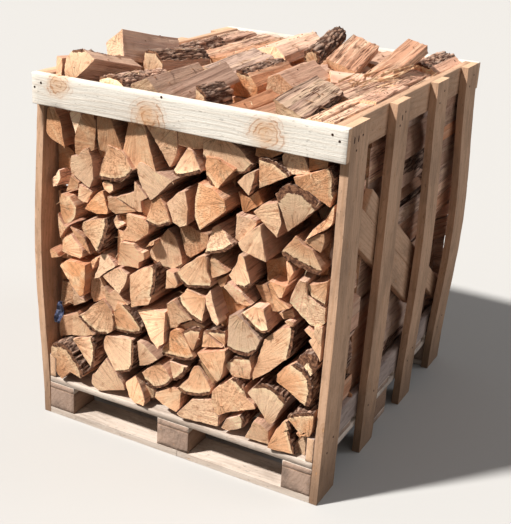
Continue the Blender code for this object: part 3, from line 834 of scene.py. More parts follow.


# The ends of the stacked logs as seen from in front. Each gives the wood, how far the end
# stands out, how many times as thick as usual its bark is if not once, and the corners.
# The brown, dim and dark woods of ends set far in, under the top rail and by the posts, are partly
# their own tone and partly painted shade.
STACK = """
brown -9.5: -47.5,111 -46,106 -43,104 -38,102.5 -40,110 -43,114
pale -3.6: -38.6,110 -36.2,104 -34.2,109.5 -36,114
brown -6.4: -33,110.5 -35,104.5 -34.5,99.8 -32.5,99.3 -28.2,101.8 -28,110 -30,114
brown -5.6: -27.3,111 -27.6,101.5 -18.3,101 -19,104 -22,112 -25,114
dim -5.2: -16,111 -18,103 -16.8,100b -14,98b -10,96.8b -6.2,98.6b -8,104 -10.5,112 -13,114
pink -3.6: -9.6,111 -5,103.5 -3,100 -0.8,104 -0.2,111 -4,114
warm -2.6: 0.2,114 0.4,107 5,106.6 9.8,107.5 10,113
dim -5.0: 10.5,112 10.4,106b 13,104b 18,102.8b 23,103.6b 25.2,106.3b 21.5,110 17,112.6
tan -2.0: 33.4,109 34.6,104.8 38,105 42,106.2 40,109.5 36,114
brown -2.6: 26,113.5 25.6,108.4 29,107.8 33,110 35.4,114
brown -2.8: 42.4,112 42.8,107.4 47.4,109 47.6,112
pale 0: 2,105.5 -3,97b -2,95.8b 1,96.2b 7.2,98.8b 3.6,105
warm 0.2: 8.2,104.2 8,101 8.8,97b 12,93.8b 18.6,102 12.5,104.3
tan 0.1: 18.6,98 22.8,94.5 23.6,97 25,103 21,100.6
warm 0.6: 25.4,107b 25.8,97.3 35.8,103.3b 34.5,104.5b 30.5,106.6b
tan 0.4: 36.8,103.5 37.4,101.6 47.8,96 48.8,100b 48.8,105.5b 47.5,108.2b 42,105.6
dim 0.8 3.0: 31,96.8b 34,91 36,86.5 45.5,96.6b 40,100.8b 34,100.6b
pink 0.3: 24.8,90.6 33,84 34,89 32,94.8 27.5,93.4
pink 2.2: 20,79.8 21.5,77.5 29.8,75.8 28.6,81 27.2,87 24,84.5
tan 0: 19.5,88.9 19.4,81 21.2,80 26,86.8 25.6,88
warm 2.2: 6,95.2w 5,90w 5.2,84.5w 7.3,80.5w 12,84.8 16.4,88.8 15.4,91.8 11,94.6
warm 0.3: -12,79.3b -7,78.6b -2.5,81b -5.2,86.6 -7.4,88.9 -10,86.4
pink 0.2: -2.4,81.2 0.4,80.3 3,81.4 3.1,87 1.5,92 -1,91 -5,86.8
rose 0.4: -15.4,94.6 -15,97.8 -13.6,98.2 -8,96 -2,94.6 -7.2,89.2 -10.2,86.6 -13.5,90
tan -0.3: -15.8,92 -16,88.4 -22.8,85.2 -15,81.8 -13.6,82 -13.8,85.6 -11.4,87.2
tan -2.4: -13.8,85.6 -13.4,82 -12.4,80 -11.8,79.6 -9.8,86.4 -11.5,86.9
tan 0.6: -30,89.6b -28.6,95 -26.8,100.8 -20.8,100.2 -15.8,95b -18.5,91.6b -24,89.9b
brown -4: -32,99.2 -30.5,96.8 -28.3,97.4 -27.2,101 -28.2,101.6
tan 0.5: -40.4,92 -40,89.4 -33,85.5 -31.5,89 -31.6,95 -33.2,99.2 -35.2,98.3 -37.4,95.6 -40,95.2
brown -6: -49,99.8 -48.8,91.5 -46.5,89.8 -44,90.5 -40.7,92.6 -40.6,97 -45,99.4
white -2.5: -50,86 -48.4,83.8 -46.4,84.6 -45,87.5 -45.4,89.6 -47,87.4
tan 0.2: -42.6,82.8 -37.6,84.8 -36.6,87.2 -40,89.2 -41,86.4
pale 0.1: -37.8,81.6 -35.6,80.4 -33.8,80.8 -31.8,84.8 -33,85.4 -36.6,86.8
warm 0.4: -34.4,79 -30.8,84.4 -28.4,86 -25.8,80 -26,78.6 -30,78
tan 0: -28.6,88.4 -27.4,86.6 -25.4,85.6 -24,87 -24.4,89 -27,89.4
dim 0.2: -26.2,84.8 -25.6,80.6 -23,79.4 -15.8,81.6 -22.8,84.9
brown -8: 12.6,93.6 18.4,101 18.4,97.6 20,94.4 16.2,91.8
brown -2.5: 19.8,95.6 21.6,90.6 22.6,90.4 27.2,93.6 25.6,97 22.8,94.4
brown -6: 14.8,83 19,78.8 19.4,84 17.4,85
dim 0.5 1.8: 34.2,80.2 35.6,82.4 38.4,86.2 40.3,84.4 44,83.2 47.8,77.4 46.8,75.8b 42,76.6b
  38,78b 35.4,78.8b
dim 0: 41,84.8 45.6,88.4 47.4,88.8 47.6,86 46.4,82.5 44.4,83.2
pale 0.4: 41.4,85.4 43.6,89.2 47,92.6 49,96.6 50,97.6 50,92.6 48.4,90.4 45.4,88.4
brown -7: 47.6,88.6 50,92 50,80.6 48,79 46.6,82.4
brown -6: 46,80.6 50,81 49.8,76.8 48,76.4
dark -6: -49.4,82b -49.6,76b -46.4,75b -45.4,78b -45,83b -47,84b
tan 0.6: -44.6,80.5 -44.8,75 -43.3,71.6 -40.7,72.6w -38.2,75.2w -37.2,78.8w -40,82.2w -43.4,82.2
pale -0.6: -45.8,75.2 -45.6,71 -44.9,66.5 -42.8,70 -41.8,71 -43.4,71.4
dim -6: -49.6,73.8 -49,69.5 -46.5,64.8 -45.2,62.4 -45,67 -46,74.6
pale 0.3: -44.1,66 -44.1,62.1 -40,61.6 -36.2,61.5 -35.1,62.6 -35.2,64.5 -40.6,69 -42.4,67.8
tan 0.1: -41,71.4 -39.5,69.4 -35,64.8 -32.7,63.2 -33.6,66.2 -35,69.2 -38,70.4
warm 0.8 1.4: -35.9,72 -35.6,74 -31.8,75.7 -26.4,77.3b -25.8,75.2b -26.5,71b -28.2,65.4b
  -29,65.2 -32.5,68.7 -35,70.6
brown -6: -34.6,69.4 -33.2,63.6 -29,64.4 -29,65.4
pale -0.8: -33,61 -32.4,58.4 -29.4,63.8 -31.4,63
tan 0.2: -31,55.6 -29.4,61 -29,64.8 -26,65.4 -22.8,61.9 -28,57.6
warm 1.8: -45,57 -42.4,59.2 -37,60 -34.2,59.8 -34.2,57 -35.2,48.4 -36.6,47.6 -40,50.8
tan 0: -49.4,61.4 -48.4,62.4 -46.4,61 -45.4,59.6 -48.6,58.8
brown -7: -49.4,58 -46.6,57.4 -44.8,55.8 -42.4,52.8 -46,51.6 -49.2,52.4
dim -6: -46.4,50.6 -46.8,44 -46,42.4 -40.4,45.4 -40.2,50.6
rose -0.2: -40.2,50.4 -40.2,43.4 -34.6,46.6 -37,47.4 -39,50
dim -1.6: -32.6,55.4 -32.8,49.6 -31.6,47.4 -27.4,50.2 -27.4,54 -29,56
tan 0.5: -28.4,57.2 -23.2,61.2 -21,61.7 -18.2,60.2 -18.6,57.8 -21,52.8
tan 0.6: -27.6,54 -25.6,52 -23.4,53.8 -21.4,52.4 -18,49.6 -19.4,48.6 -23.6,45.8 -24.4,47.4 -26.8,49.2
pale 0.4: -18.8,80.7 -18.8,76 -20.6,73.6 -20.4,71.4 -15.6,71.6 -11.2,75.4 -11,78.6 -13.4,80.2
pale 0.5: -20.6,71.2 -21.4,67 -22.2,62.4 -18,63 -14.6,62.8 -14.4,65.2 -12.2,66.6 -12.2,69.2
  -14.6,69.6 -15.8,71.4
tan -2.4: -22.8,74 -22.6,66 -22.4,62.4 -21.4,66.6 -21,73.6
white 0: -23.8,77.2 -23.2,75.6 -22.4,74.6 -19.8,76.8 -21.8,77.4 -22.6,79.4
brown -1.5: -22.4,79.6 -20,76.9 -19,76.2 -18.9,80.4
dim -3: -9.9,70.4 -9.4,67.8b -6,66b -2,65.8b 0.4,67.8b 0,70.6 -2.4,76.6 -4.4,78.2 -7,74.6
tan 0: -12,70.8 -10.8,71.4 -9,72.2 -8.6,74 -10.6,73
pink 1.8 1.3: -17.8,60 -15,62.4 -10.6,64.6 -9.2,65.8b -8,64.6b -7.6,59.5b -8.4,55.6b -9.6,52.2
  -13,50.8 -16.4,49.4 -17.4,55.5
pink 0.1: -4.2,65 -4.4,58.6 -0.2,60.2 0.4,61.6 -1.6,65
tan 0.2: -3.4,54.4 -1,56.2 1.4,53.8 5.4,50.4 1.4,48.4 0,46.4 -2.2,45.4 -3.2,49
pale 1.8: -14.8,48.8 -11.8,44.8 -9,39.8 -6,37.4 -5.4,38.6 -3.9,40 -4,51 -10,50.6
brown -3: 0.2,80.2 2.8,72.4 4.4,72 9.2,75.8 9.8,80 6.8,80.2 3.2,81.2
pale 0.6: 9.4,73.6b 10,77.5 11.2,82.6 13,83.9 14.8,83 19,78.6b 16,76b 12,74.4b
tan -0.2: 11.6,74 10.8,70.4 12.2,66.5 17.6,69.8 14,72.6
tan 0.9: -1,65b 2.8,68.8 6.8,72.2 9.4,73.6 10.4,72.6 10.6,68.4 12,65.4 11.4,63b 8.4,62.2b 3,61b
  0.6,62.8b
pale 0.8: 17.4,68.6 19.8,72.6 20.8,76.4 22.4,76 23.8,72 25.6,67.6b 23.6,65.6b 21.4,65.8b 19,67.2
pale 0.2: 16.2,64.8 17.8,67 22,65 26,61 24.4,60.4 20.6,60.8
tan -1.5: 13.6,66 17.4,68.8 16.4,65 15,64.4
brown -6: 12.4,63.2 14.8,64.6 20.6,60.9 24.2,60.2 22,57.6 17.6,55.8 15.4,54.6
pale 0.4: 10,60 11.8,62.8 12.8,59 15.6,52.6 14.8,51.2 12.6,52.6 10.2,57.4
pale 0.5: 0.6,57.4b 2.6,59.6 3.4,61 9.8,59.6 10,56.4 9.4,50.5b 4.8,52.4b 1.2,55.2b
rose 0.9: 17.9,55.4 20.8,56.8 25,54.6 28.6,52.2 30.2,51 28.6,46.4b 26.4,44.4b 20.6,43.8b 18.2,44.4b
brown -4: 15.6,54.2 17.6,55.6 17.9,50.2 16,50.6
brown -6: 30,76.2 35,78.4 36.4,77.6 36.8,69.8 31.2,70.8
pale -0.4: 36.2,77.8 37.4,78 39,75.2 37.3,70.6
tan 0.1: 31,70.4 36.9,69.9 35.6,66 34.6,65.8
tan 0.2: 30.8,69.4 31.4,70 34.6,65.6 38.6,63.4 35,61.4 33.6,62.6
dark -3.6: 26.9,67.6 30.7,68.8 34.4,61.8 31.8,61.2
brown -4: 27.2,61.8 30,64.4 30.6,60.8
white 1.8: 22.8,57.8b 26.6,61.2 29.8,61 31.9,53.8b 30,53b 27.4,54.2b
pink 0.3: 28.4,39.4 28.8,37.5 34,41.8 39.6,47.6b 40.2,53b 39.9,57.4b 36,56.2 31,51.6
pale 0: 36.9,58.8 38,59.6 40,59.4 40,57.8 38.6,57.6
tan -2: 35.2,60.8 39,62.8 40.4,61 37,59.4
white 0.9: 38.2,65.6w 39.8,71 41,74 43.2,73.6 43.6,69.4 47,67.4 50,65.6 50,61w 48,59.3w
  44.8,59.6w 41.6,62.2w
tan 0.3: 43.2,70.8b 43.6,72.6 46.8,73.4 49.9,75 49.9,66.6b 44.6,68.4b
pale 0: 43.4,58 44.6,59 48.4,58 50,55.4 50,48.8 47.4,52 45.2,54.8 46.9,56.2
dim 0.6 1.8: -50,25.6 -48.6,27.6b -45,28.4b -41.6,27.2b -39.4,24.8b -36.4,21b -35.2,19b
  -36.4,17.4 -42,18.8 -46.2,14.9 -48,15.6 -49.8,17.4
pale 0.3: -40,31.8 -36,33.4 -32,34.6b -31.2,31b -31.4,26b -32.8,21.6b -35.4,25 -38,28.8
pink 0.1: -40.4,40 -38.6,42 -37.4,40 -33,36.8 -30.6,35.6 -31.6,34.8 -36,33.6 -40.3,32.6
dark -5: -46.4,37.4 -40.4,39.8 -40.4,33 -43,31.6 -46.2,30.4 -48.2,29.2 -48.4,33
warm 0.7: -38,40.6b -34.6,43 -31.6,46.4 -27.6,49.6 -26,48 -24.2,45.8 -23.6,41.6 -24,38.4
  -27,36.6b -29.8,35.8b -33.6,37.4b
warm 0.4: -23.8,42 -24,46 -21.8,50 -19,49.8b -16,47.6b -12,43b -12.4,41.4b -16.4,39.6b -23.6,38.6b
pink 0.5: -28,33.6 -27,36.4 -21,37.3 -15.8,37.9b -15.5,28.4b -16.6,26.2b -21.6,24.2b -23.4,25.4 -27.6,31
tan 0.4: -32.4,17 -32,20.6 -30.4,22 -26.2,28.6 -22.4,23.8 -19.8,20.4 -19.2,18 -29.2,14.8 -31,15.4
pale 0.3: -19.2,21 -15.2,25 -12.4,21.4 -10.2,17.2 -10.8,15.2 -14.6,15 -17.2,16.2 -18.6,19
dark -2.5: -14.6,25.4b -11.6,23b -7.2,22b -7.4,18.6b -10,16.6b -12.2,21.4b
tan 0.4: -14.2,38.2 -11.6,37.8w -5.9,33.7w -9.4,30.6 -13.6,28.8
pink 0.5: -12.8,27 -9.4,29.8 -6.6,32.2 -4.4,31.6 -1,27.6b -1.6,26b -4.4,23.8b -7.4,22.8b -10.4,24.4b
pale 0: -2,34.3 4.8,34.2b 4,31.6b 1.2,28.2b -0.4,27.2b -1,29.6
warm 0.6: -5,35.6b -4.6,38.4 -3,40.4 -2.2,44.6 0,46.3 1.4,46.2 4.4,42.6 7.4,37.9b 5,36.4b
tan 0.1: 2.6,46b 5,47.8b 8.8,48b 7.8,44 6.6,40.2 4.8,42
pale -2: 1.4,47.6 5.4,50.2 10,49.6 8.8,48.2 5,47.9 2.6,46.4
pink 0.3: 9.8,48.2 9.6,42.6 17.4,44.9
tan 0: 10.4,48.6b 12.6,49.6b 17.2,50b 17.6,45.6
warm 1.8: 8.4,40.8 17.8,44 18.3,42 17,33.6 15.8,32.2 10.2,37.6
brown -1.5: 8.8,36.8b 10.4,37.8b 15.6,32.4b 13.6,29.8b
pale 0.2: 18,38.6 20,41.4b 21,42.8b 26.4,44b 27.2,40 26.8,36 20.8,35.6
pale 0.8: 14.2,29 16.6,31.6 20.8,35.3b 22.4,35.2b 24.8,32.6b 26,29.2 28.6,27.6 29,26.2 20,22.6
  16.6,20.6 15.2,21.6 14.2,25
warm 0.4: 1.2,25.6b 5,30.2 6.6,34.8 8.2,35.4 13.8,29 13.6,27b 9.6,25.2b 4.6,24.6b
tan 0.2: -7,21.4 -4.4,22.9 -0.6,25 2.8,25 2.6,18.4 1.4,17 -4,18 -7.2,19.6
pale 0.5: 1.6,16.6 4.6,20.4 6.6,23.2 13.8,25.4 14.8,22 16.7,19.4 16.7,16 3,15.6
pale 0.3: 17.8,16.2 19.6,20.4 24.8,23.4b 25.9,21.6b 25.6,18.6b 20.4,15.8
tan 0.4: 26.2,15.4 29.4,23 31.6,22.4 34.2,20.4 34.6,15.4
tan 0.7 1.5: 26.4,32 29,35.6b 32.2,36.9b 35.8,36b 39.6,32.6b 37.2,27.6 36.4,24.6 34.8,22.4
  33.2,23.4 29.8,28.4
tan 0.9 1.6: 35.6,41.2 37.6,43.8 41.4,46.4b 44.6,45.4b 47.2,42.6b 48,38b 47.4,33.4b 46,33.2
  39.8,36.4 35.6,38.4
white -0.4 3.0: 41.6,47b 43.4,49.8b 48,51b 49.4,47.6b 47.2,43.8 44.6,46
warm 0.5: 39.8,27.6b 44.4,30.4b 49.9,32.6b 49.9,28.6 48.4,23.2 47.2,20.9 44.4,23.2 40.2,26.4
tan 0.3: 34.8,15.2 35.6,19 39,25.8 40.2,26b 42.6,21.4b 45.8,15.2b
brown -10: -49.8,100.4 -49.8,110.6 -43,110.6 -42,104 -43,99.6
brown -7: -49.8,60 -49.8,73 -43,73 -42,64.4 -43,60
brown -8: -49.8,40 -49.8,54 -41.5,54 -41,44.6
brown -8: -49.8,26.6 -49.8,39.6 -41.5,39.6 -42,28
tan -5: 49.8,100 49.8,109.4 46.2,110 45.8,103
tan 0.2: 49.8,54 49.8,60.4 46.6,60 46.8,55
dim -3: 49.8,15.4 49.8,23 47.2,22.6 45.4,15.4
"""

# The logs that finish each row at the top, front row first, in the same form. Behind the
# first row, they start with one that fills the stack's upper corner at each side.
UPPER_CORNERS = """
brown 0: -47.2,103 -47.2,111.6 -41.4,111.8 -42.4,104.2
brown 0: 42.4,104.2 41.4,111.8 47.2,111.6 47.2,103"""
TOP_COURSES = (
    """
brown 0: 10.4,112.8 10.2,116.8 13.4,119.4 17.2,117.8 18.4,113
pink 0: 18.8,113 18.6,116.5 22.6,119.8 26.6,118.4 27,113.8
pale 0: 38.4,112.4 38.2,119.6 42.9,120.2 43,112.6
pale 0: 43.3,112.4 43.1,120.1 47.3,120.5 47.3,112.4
""",
    UPPER_CORNERS + """
tan 0: -47.2,112.2 -47,114.6 -38,114.8 -38.4,112
tan 0: -37.6,111.8 -37.4,114.6 -28.6,114.2 -29,112
brown 0: -28,112 -27.6,114.4 -21,114.6 -21.2,112
pink 0: -20.2,112.4 -20.4,118.8 -16.2,120.2 -11.6,118.6 -11.4,112.6
tan 0: -11,112.4 -10.8,119 -6.4,120.4 -2.6,118 -2.2,112.8
tan 0: -1.6,112 -1.2,114.6 8.8,114.8 9,112
brown 0: 9.4,112 9.6,114.6 23.8,114.8 23.6,112
pink 0: 24.9,112.2 24.6,118 28.2,120.6 31.8,119.2 32,112.6
tan 0: 32.4,112.4 32.2,119.4 37.4,120.7 39.6,119.8 39.4,112.4
pale 0: 39.8,112 40,120.2 47.3,120.8 47.3,112
""",
    UPPER_CORNERS + """
pale 0: -47.2,112 -47.3,118.4 -43,120.8b -38,121.6b -35.4,119b -35.6,112.4
tan 0: -35,112.2 -35.2,118.6 -30,120.2 -26,119.4 -26.2,112.4
pink 0: -25.8,112.2 -25.8,119.4 -20,120.4 -16.9,118.9 -17.2,112.6
tan 0: -16.4,112 -16,116 -1.6,116.2 -1.8,112
tan 0: -1.2,112 -1,116.2 6,117.6 12.6,116.4 12.4,112
brown 0: 13,112 13.2,119 17,120.6 25.6,117.6 25.4,112
tan 0: 26,112.2 25.8,117 28.2,119 31,118 31.2,112.4
pink 0: 31.6,112 31.4,119.2 38,120.4 44.6,119.8 44.6,112
pink 0: 45,112.2 45,119 47.3,119.4 47.3,112.2
""",
    UPPER_CORNERS + """
pale 0: -47.2,112 -47.3,118.6 -43.6,121.4b -39,122.4b -35.6,120.6b -35.2,113
pale 0: -34.8,112.2 -35,118.4 -30.2,120 -25.4,118.6 -25.6,112.4
tan 0: -25,112.2 -25.2,119.2 -17.4,119.8 -17.2,112.4
warm 0: -16.8,112.4 -16.6,118.8 -11,119.8 -7.6,117.4 -7.8,112.2
tan 0: -7.2,112.2 -7.4,117.8 -2.2,119.8 1.8,118 1.6,112.4
pale 0: 2.2,112.4 2,119 9.4,119.6 9.8,112.4
tan 0: 10.4,112.2 10.2,118.2 14.6,119.8b 19,118.6b 19.4,112.6
warm 0: 19.8,112.4 20,119.4 28.4,119.2 28.6,112.4
tan 0: 29.2,112.2 29,118 34.2,119.8 38.4,118.4 38.2,112.4
tan 0: 38.8,112.4 39,119.4 47.3,119.6 47.3,112.2
""",
)

# Loose logs on top: wood, how grooved, front point, back point, and the corners round
# the line between them.
LOOSE_LOGS = {
    "slim": ("pale", 0.3, (-46.1, -58.0, 114.9), (-46.0, -38.0, 112.8),
             "-1.1,0.2 1,0 1.1,9.6 -1,10.2"),
    "fibrous": ("grey", 0.5, (-38.6, -58.0, 118.6), (-38.0, -33.0, 112.6),
                "-5,0.4 -0.9,0 5.8,7.4 0.4,9.6b -3.4,9.1b -6.1,6.3 -5.8,2.4"),
    "low_bark": ("white", 0.4, (-24.8, -59.0, 114.4), (-25.4, -30.6, 112.3),
                 "-5.4,0 5.6,0.1 5.2,4.6b 2.2,7b -1.6,7.8b -5.2,6.6b"),
    "brown": ("rose", 0.1, (-12.0, -58.6, 114.8), (-11.4, -30.4, 115.4),
              "-6,0 4.6,0.1 2.6,4.8 -0.8,8.8 -6.2,6"),
    "ridged": ("rose", 0.1, (-4.9, -58.5, 110.6), (0.6, -30.6, 116.0),
               "-3.3,4.2 2.4,4.2 2.6,5.2 -1.7,10.4 -3.3,9.2"),
    "grooved_slab": ("grey", 0.9, (-7.4, -29.4, 118.4), (-4.6, -1.2, 121.2),
                     "-4.4,1.6 4,0 4.6,2 -3.8,4.6"),
    "bark_edge": ("rose", 0.5, (4.9, -58.6, 115.8), (6.4, -46.0, 115.4),
                  "-1.9,0 2.6,0.1b 2.2,5.4b -1.8,7.8b"),
    "right_bark": ("ash", 1.6, (32.8, -58.4, 114.6), (32.6, -30.2, 117.0),
                   "-3.4,5.2 3.4,1.6b 5,5.4b 1.4,7.2 -4,9.2"),
    "block": ("grey", 0.1, (-44.4, -29.8, 120.9), (-39.4, -2.6, 115.4),
              "-4.2,0.4 4.8,0 0.4,9.6 -6.2,4"),
    "bark_top": ("rose", 0.4, (-34.0, -24.0, 116.4), (-28.8, -1.6, 114.9),
                 "-4.4,0 4.6,0.1 4.4,4.6b 1,7.4b -3.6,7b"),
    "orange": ("warm", 0.4, (4.2, -29.2, 114.9), (4.8, -1.6, 115.0),
               "-4.6,0 4.2,0.1 4,4.2 0.6,8b -3.4,8.6b"),
    "grey_face": ("rose", 0.2, (16.0, -28.0, 114.9), (15.4, -0.8, 115.1),
                  "-5.6,0 6.2,0.1 5.4,4.4 -1,9.2 -4.8,7.8"),
    # its dark wood darkens its end and bark, partly as painted shade on an end that lies in shadow
    "dark_bark": ("dark", 0.4, (11.6, 2.6, 120.8), (8.8, 31.0, 124.8),
                  "-3.2,3.3b -2.3,1b 0,0b 2.3,1b 3.3,3.3b 2.3,5.6b 0,6.5b -2.3,5.6b"),
    "straight_grain": ("tan", 1.5, (20.8, 6.5, 118.8), (19.4, 31.0, 124.0),
                       "-4.8,1.8 5.2,-0.3 5.6,2.4 -5.2,5.4"),
    "lifted": ("warm", 0.8, (34.2, 3.0, 117.4), (38.6, 31.0, 126.0),
               "-3.2,0.8 3.8,0 4,3.2 -3.4,4.4"),
    "stub": ("pale", 0.0, (20.6, -2.0, 117.0), (33.0, 2.6, 117.0),
             "-4.4,0 3.8,0 4.6,2 2.4,4.2 -1.6,4.6 -4.2,2.8"),
    "flat_pale": ("pale", 0.3, (-9.0, 13.0, 118.4), (-6.4, 40.0, 120.6),
                  "-6.4,0 6.6,0.1 6,3 1.6,5.6 -5.6,3.8"),
}

# How each row repeats the stack: its seen and its hidden ends along Y, whether the stack
# is mirrored and turned over, and how its logs are cut.
STACK_BASE, STACK_TOP = 0.1450, 1.1290
ROWS = (
    ("row_1", -0.5985, -0.3045, False, False, "front"),
    ("row_2", -0.2975, -0.0025, True, False, "hidden"),
    ("row_3", 0.0025, 0.2975, False, True, "hidden"),
    ("row_4", 0.5985, 0.3045, True, True, "back"),
)
SIDE_X = 0.36                   # logs further out than this are seen between the posts
HALF_HEIGHT = 0.66              # parts each row's logs into a lower and an upper piece
OVERHANG = 0.022                # the furthest that a log end stands out of the crate
END_DRIFT = -0.002, 0.003       # how an outer row's ends differ from what the stack says
INNER_ENDS = 0.0, 0.008         # how far the other rows' ends are drawn in
BACK_SWAY = 0.004               # how far a log's far end lies off its line
DEEP = -0.012                   # an end further in than this is behind its neighbours
DEEP_GROWTH = 1.10              # a log behind its neighbours reaches under them
CLOSE_GROWTH = 0.975            # the others leave a dark gap round them
VIEW_SHIFT = Vector((0.5, 0.45))     # how an end seems to move as it stands out
PLANK_X, PLANK_GROOVES = 0.24, 1.5   # the right-hand planks on top are deeply grooved
SIDE_WOODS = ("grey", "ash", "ash", "rose", "dark", "pale", "dim")
BACKING_X = (0.400, 0.478, 0.497)    # a backing log's inner side, least and most reach
BACKING_BASE, BACKING_PITCH, BACKING_OUT = 0.150, 0.105, -0.009
SQUEEZE = 20                    # how late a log at the side starts to be held back
ROW_SEEDS, LOG_SEEDS, LOOSE_SEEDS = 40, 500, 3000    # one a row, 500 a row, one a log


def stay_in_crate(place):
    """Draws a point of a stacked log in from the rails, braces and posts."""
    boarded = place.z < LOWER_RAIL_TOP or place.z > RAIL_BASE
    over_brace = place.y > BRACE_CLEAR_Y and place.z > BACK_CLEAR_Z
    under_brace = place.y < -BRACE_CLEAR_Y and place.z < FRONT_CLEAR_Z
    inside = SPREAD_Y[0] < place.y < SPREAD_Y[1] and not (over_brace or under_brace)
    reach = LINING_X if boarded or inside else POST_X
    depth = RAIL_Y if place.z > RAIL_BASE - 0.004 else cad_box[1].y
    out = min(reach, abs(place.x))
    past = (abs(place.x) - SIDE_X) / (POST_X - SIDE_X)
    if past > 0 and place.z < RAIL_BASE:
        out = SIDE_X + (reach - SIDE_X) * past / (1 + past ** SQUEEZE) ** (1 / SQUEEZE)
    return Vector((
        math.copysign(out, place.x),
        max(-depth, min(depth, place.y)),
        max(LOG_FLOOR, place.z),
    ))


def read_logs(text):
    """The logs that a text lists, one a line. An indented line goes on with the last."""
    for line in text.strip().replace("\n  ", " ").splitlines():
        heading, corners = line.split(":")
        wood, out, *thick = heading.split()
        yield wood, float(out) * CM, float(*thick or (1,)), read_corners(corners)


def place_stacked(corners, out, mirrored, turned):
    """Moves an end that stands out to where it looks right from the camera's side."""
    moved = []
    growth = DEEP_GROWTH if out < DEEP else CLOSE_GROWTH
    centre = middle_of(corners)
    for spot, mark in corners:
        spot = centre + (spot - centre) * growth + VIEW_SHIFT * out
        x = -spot.x if mirrored else spot.x
        z = STACK_BASE + STACK_TOP - spot.y if turned else spot.y
        moved.append((Vector((x, z)), mark))
    return anticlockwise(moved)


def backing_logs(draw, end_row):
    """Logs just inside the sides of a row, which close the gaps between its own."""
    near, least, most = BACKING_X
    for side in (-1, 1):
        low = BACKING_BASE
        while low < RAIL_BASE - 0.03:
            high = low + BACKING_PITCH * draw.uniform(0.6, 1.3)
            far, chamfer = draw.uniform(least, most), 0.02
            if end_row:
                far, chamfer = most, 0.002
            bulge = draw.uniform(0.3, 0.7) * (high - low)
            spots = ((near, low), (far - draw.uniform(0, chamfer), low), (far, low + bulge),
                     (far - draw.uniform(0, chamfer), high), (near, high))
            corners = [(Vector((side * x, z)), "") for x, z in spots]
            yield draw.choice(SIDE_WOODS), BACKING_OUT, 1.0, anticlockwise(corners)
            low = high - 0.004 if end_row else high + draw.uniform(-0.004, 0.018)


def build_row(number, woods):
    name, near, far, mirrored, turned, cut_name = ROWS[number]
    outer_row = cut_name != "hidden"
    facing = math.copysign(1, near - far)     # +1 for the last row, which faces the back
    halves = {"lower": Piece(), "upper": Piece()}
    draw = random.Random(ROW_SEEDS + number)
    stacked = [(wood, out, thick, place_stacked(corners, out, mirrored, turned))
               for wood, out, thick, corners in read_logs(STACK)]
    added = [*read_logs(TOP_COURSES[number])]
    if number:
        added += backing_logs(draw, outer_row)
    for index, (wood, out, thick, corners) in enumerate(stacked + added):
        highest = max(spot.y for spot, _ in corners)
        if outer_row and highest < RAIL_BASE:
            end = near + facing * min(OVERHANG, out + draw.uniform(*END_DRIFT))
        else:
            end = near - facing * draw.uniform(*INNER_ENDS)
        centre = middle_of(corners)
        x = -facing * centre.x
        back = Vector((x + draw.uniform(-BACK_SWAY, BACK_SWAY), far,
                       centre.y + draw.uniform(-BACK_SWAY, BACK_SWAY)))
        cut, grooves = CUTS[cut_name], None
        if index >= len(stacked) and highest > RAIL_BASE:
            cut, grooves = CUTS["top"], PLANK_GROOVES if centre.x > PLANK_X else None
        elif (index >= len(stacked) or not outer_row) and abs(centre.x) > SIDE_X:
            cut, wood = CUTS["side"], draw.choice(SIDE_WOODS)
        log = SplitLog([(spot - centre, mark) for spot, mark in corners],
                       Vector((x, end, centre.y)), back, TONES[wood],
                       LOG_SEEDS * number + index, cut, grooves, stay_in_crate, thick)
        log.add_to(halves["upper" if centre.y > HALF_HEIGHT else "lower"])
    for half, piece in halves.items():
        piece.make(f"logs_{name}_{half}", woods, "split_log", f"log_{name}")


def build_loose_logs(woods):
    for index, (name, (wood, grooves, front, back, text)) in enumerate(LOOSE_LOGS.items()):
        piece = Piece()
        SplitLog(read_corners(text), Vector(front) * CM, Vector(back) * CM, TONES[wood],
                 LOOSE_SEEDS + index, CUTS["loose"], grooves).add_to(piece)
        node = f"loose_log_{name}"
        piece.make(f"loose_{name}", woods, "split_log", *[node][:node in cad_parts])


# ---------------------------------------------------------------- boards

BRACE_SLOPE = math.radians(34.5)
DOWN_BRACE = Vector((0, math.cos(BRACE_SLOPE), -math.sin(BRACE_SLOPE)))
OVER_BRACE = Vector((0, math.sin(BRACE_SLOPE), math.cos(BRACE_SLOPE)))
BOARD_STEPS = 0.022, 0.016, 0.012    # how finely a board is cut along, across and through
BOARD_LIGHTNESS, BOARD_WARMTH = (0.40, 0.66), (0.2, 0.8)
RAISED_GRAIN, EDGE_WEAR = 0.0004, 0.0016


def board_layout():
    """Each board's node, the way its grain runs, the way its width runs, its kind and
    its slot."""
    for end in ("front", "back"):
        yield f"top_rail_{end}", X_AXIS, Z_AXIS, "rail", "fresh_pale_board"
    for side in ("left", "right"):
        for number in range(1, 5):
            yield f"post_{side}_{number}", Z_AXIS, Y_AXIS, "post", "sawn_board"
        yield f"top_rail_{side}", Y_AXIS, Z_AXIS, "post", "sawn_board"
        yield f"bottom_rail_{side}", Y_AXIS, Z_AXIS, "low", "sawn_board"
        for level in ("upper", "lower"):
            yield f"diagonal_{level}_{side}", DOWN_BRACE, OVER_BRACE, "post", "sawn_board"
    for number in range(1, 8):
        yield f"deck_board_{number}", X_AXIS, Y_AXIS, "pallet", "weathered_board"
    for column in ("left", "middle", "right"):
        yield f"stringer_{column}", Y_AXIS, X_AXIS, "pallet", "weathered_board"
    for place in ("front_left", "front_right", "middle", "back"):
        yield f"bottom_board_{place}", X_AXIS, Y_AXIS, "pallet", "weathered_board"
    for row in ("front", "middle", "back"):
        for column in ("left", "middle", "right"):
            yield f"block_{row}_{column}", Y_AXIS, X_AXIS, "block", "pallet_block"


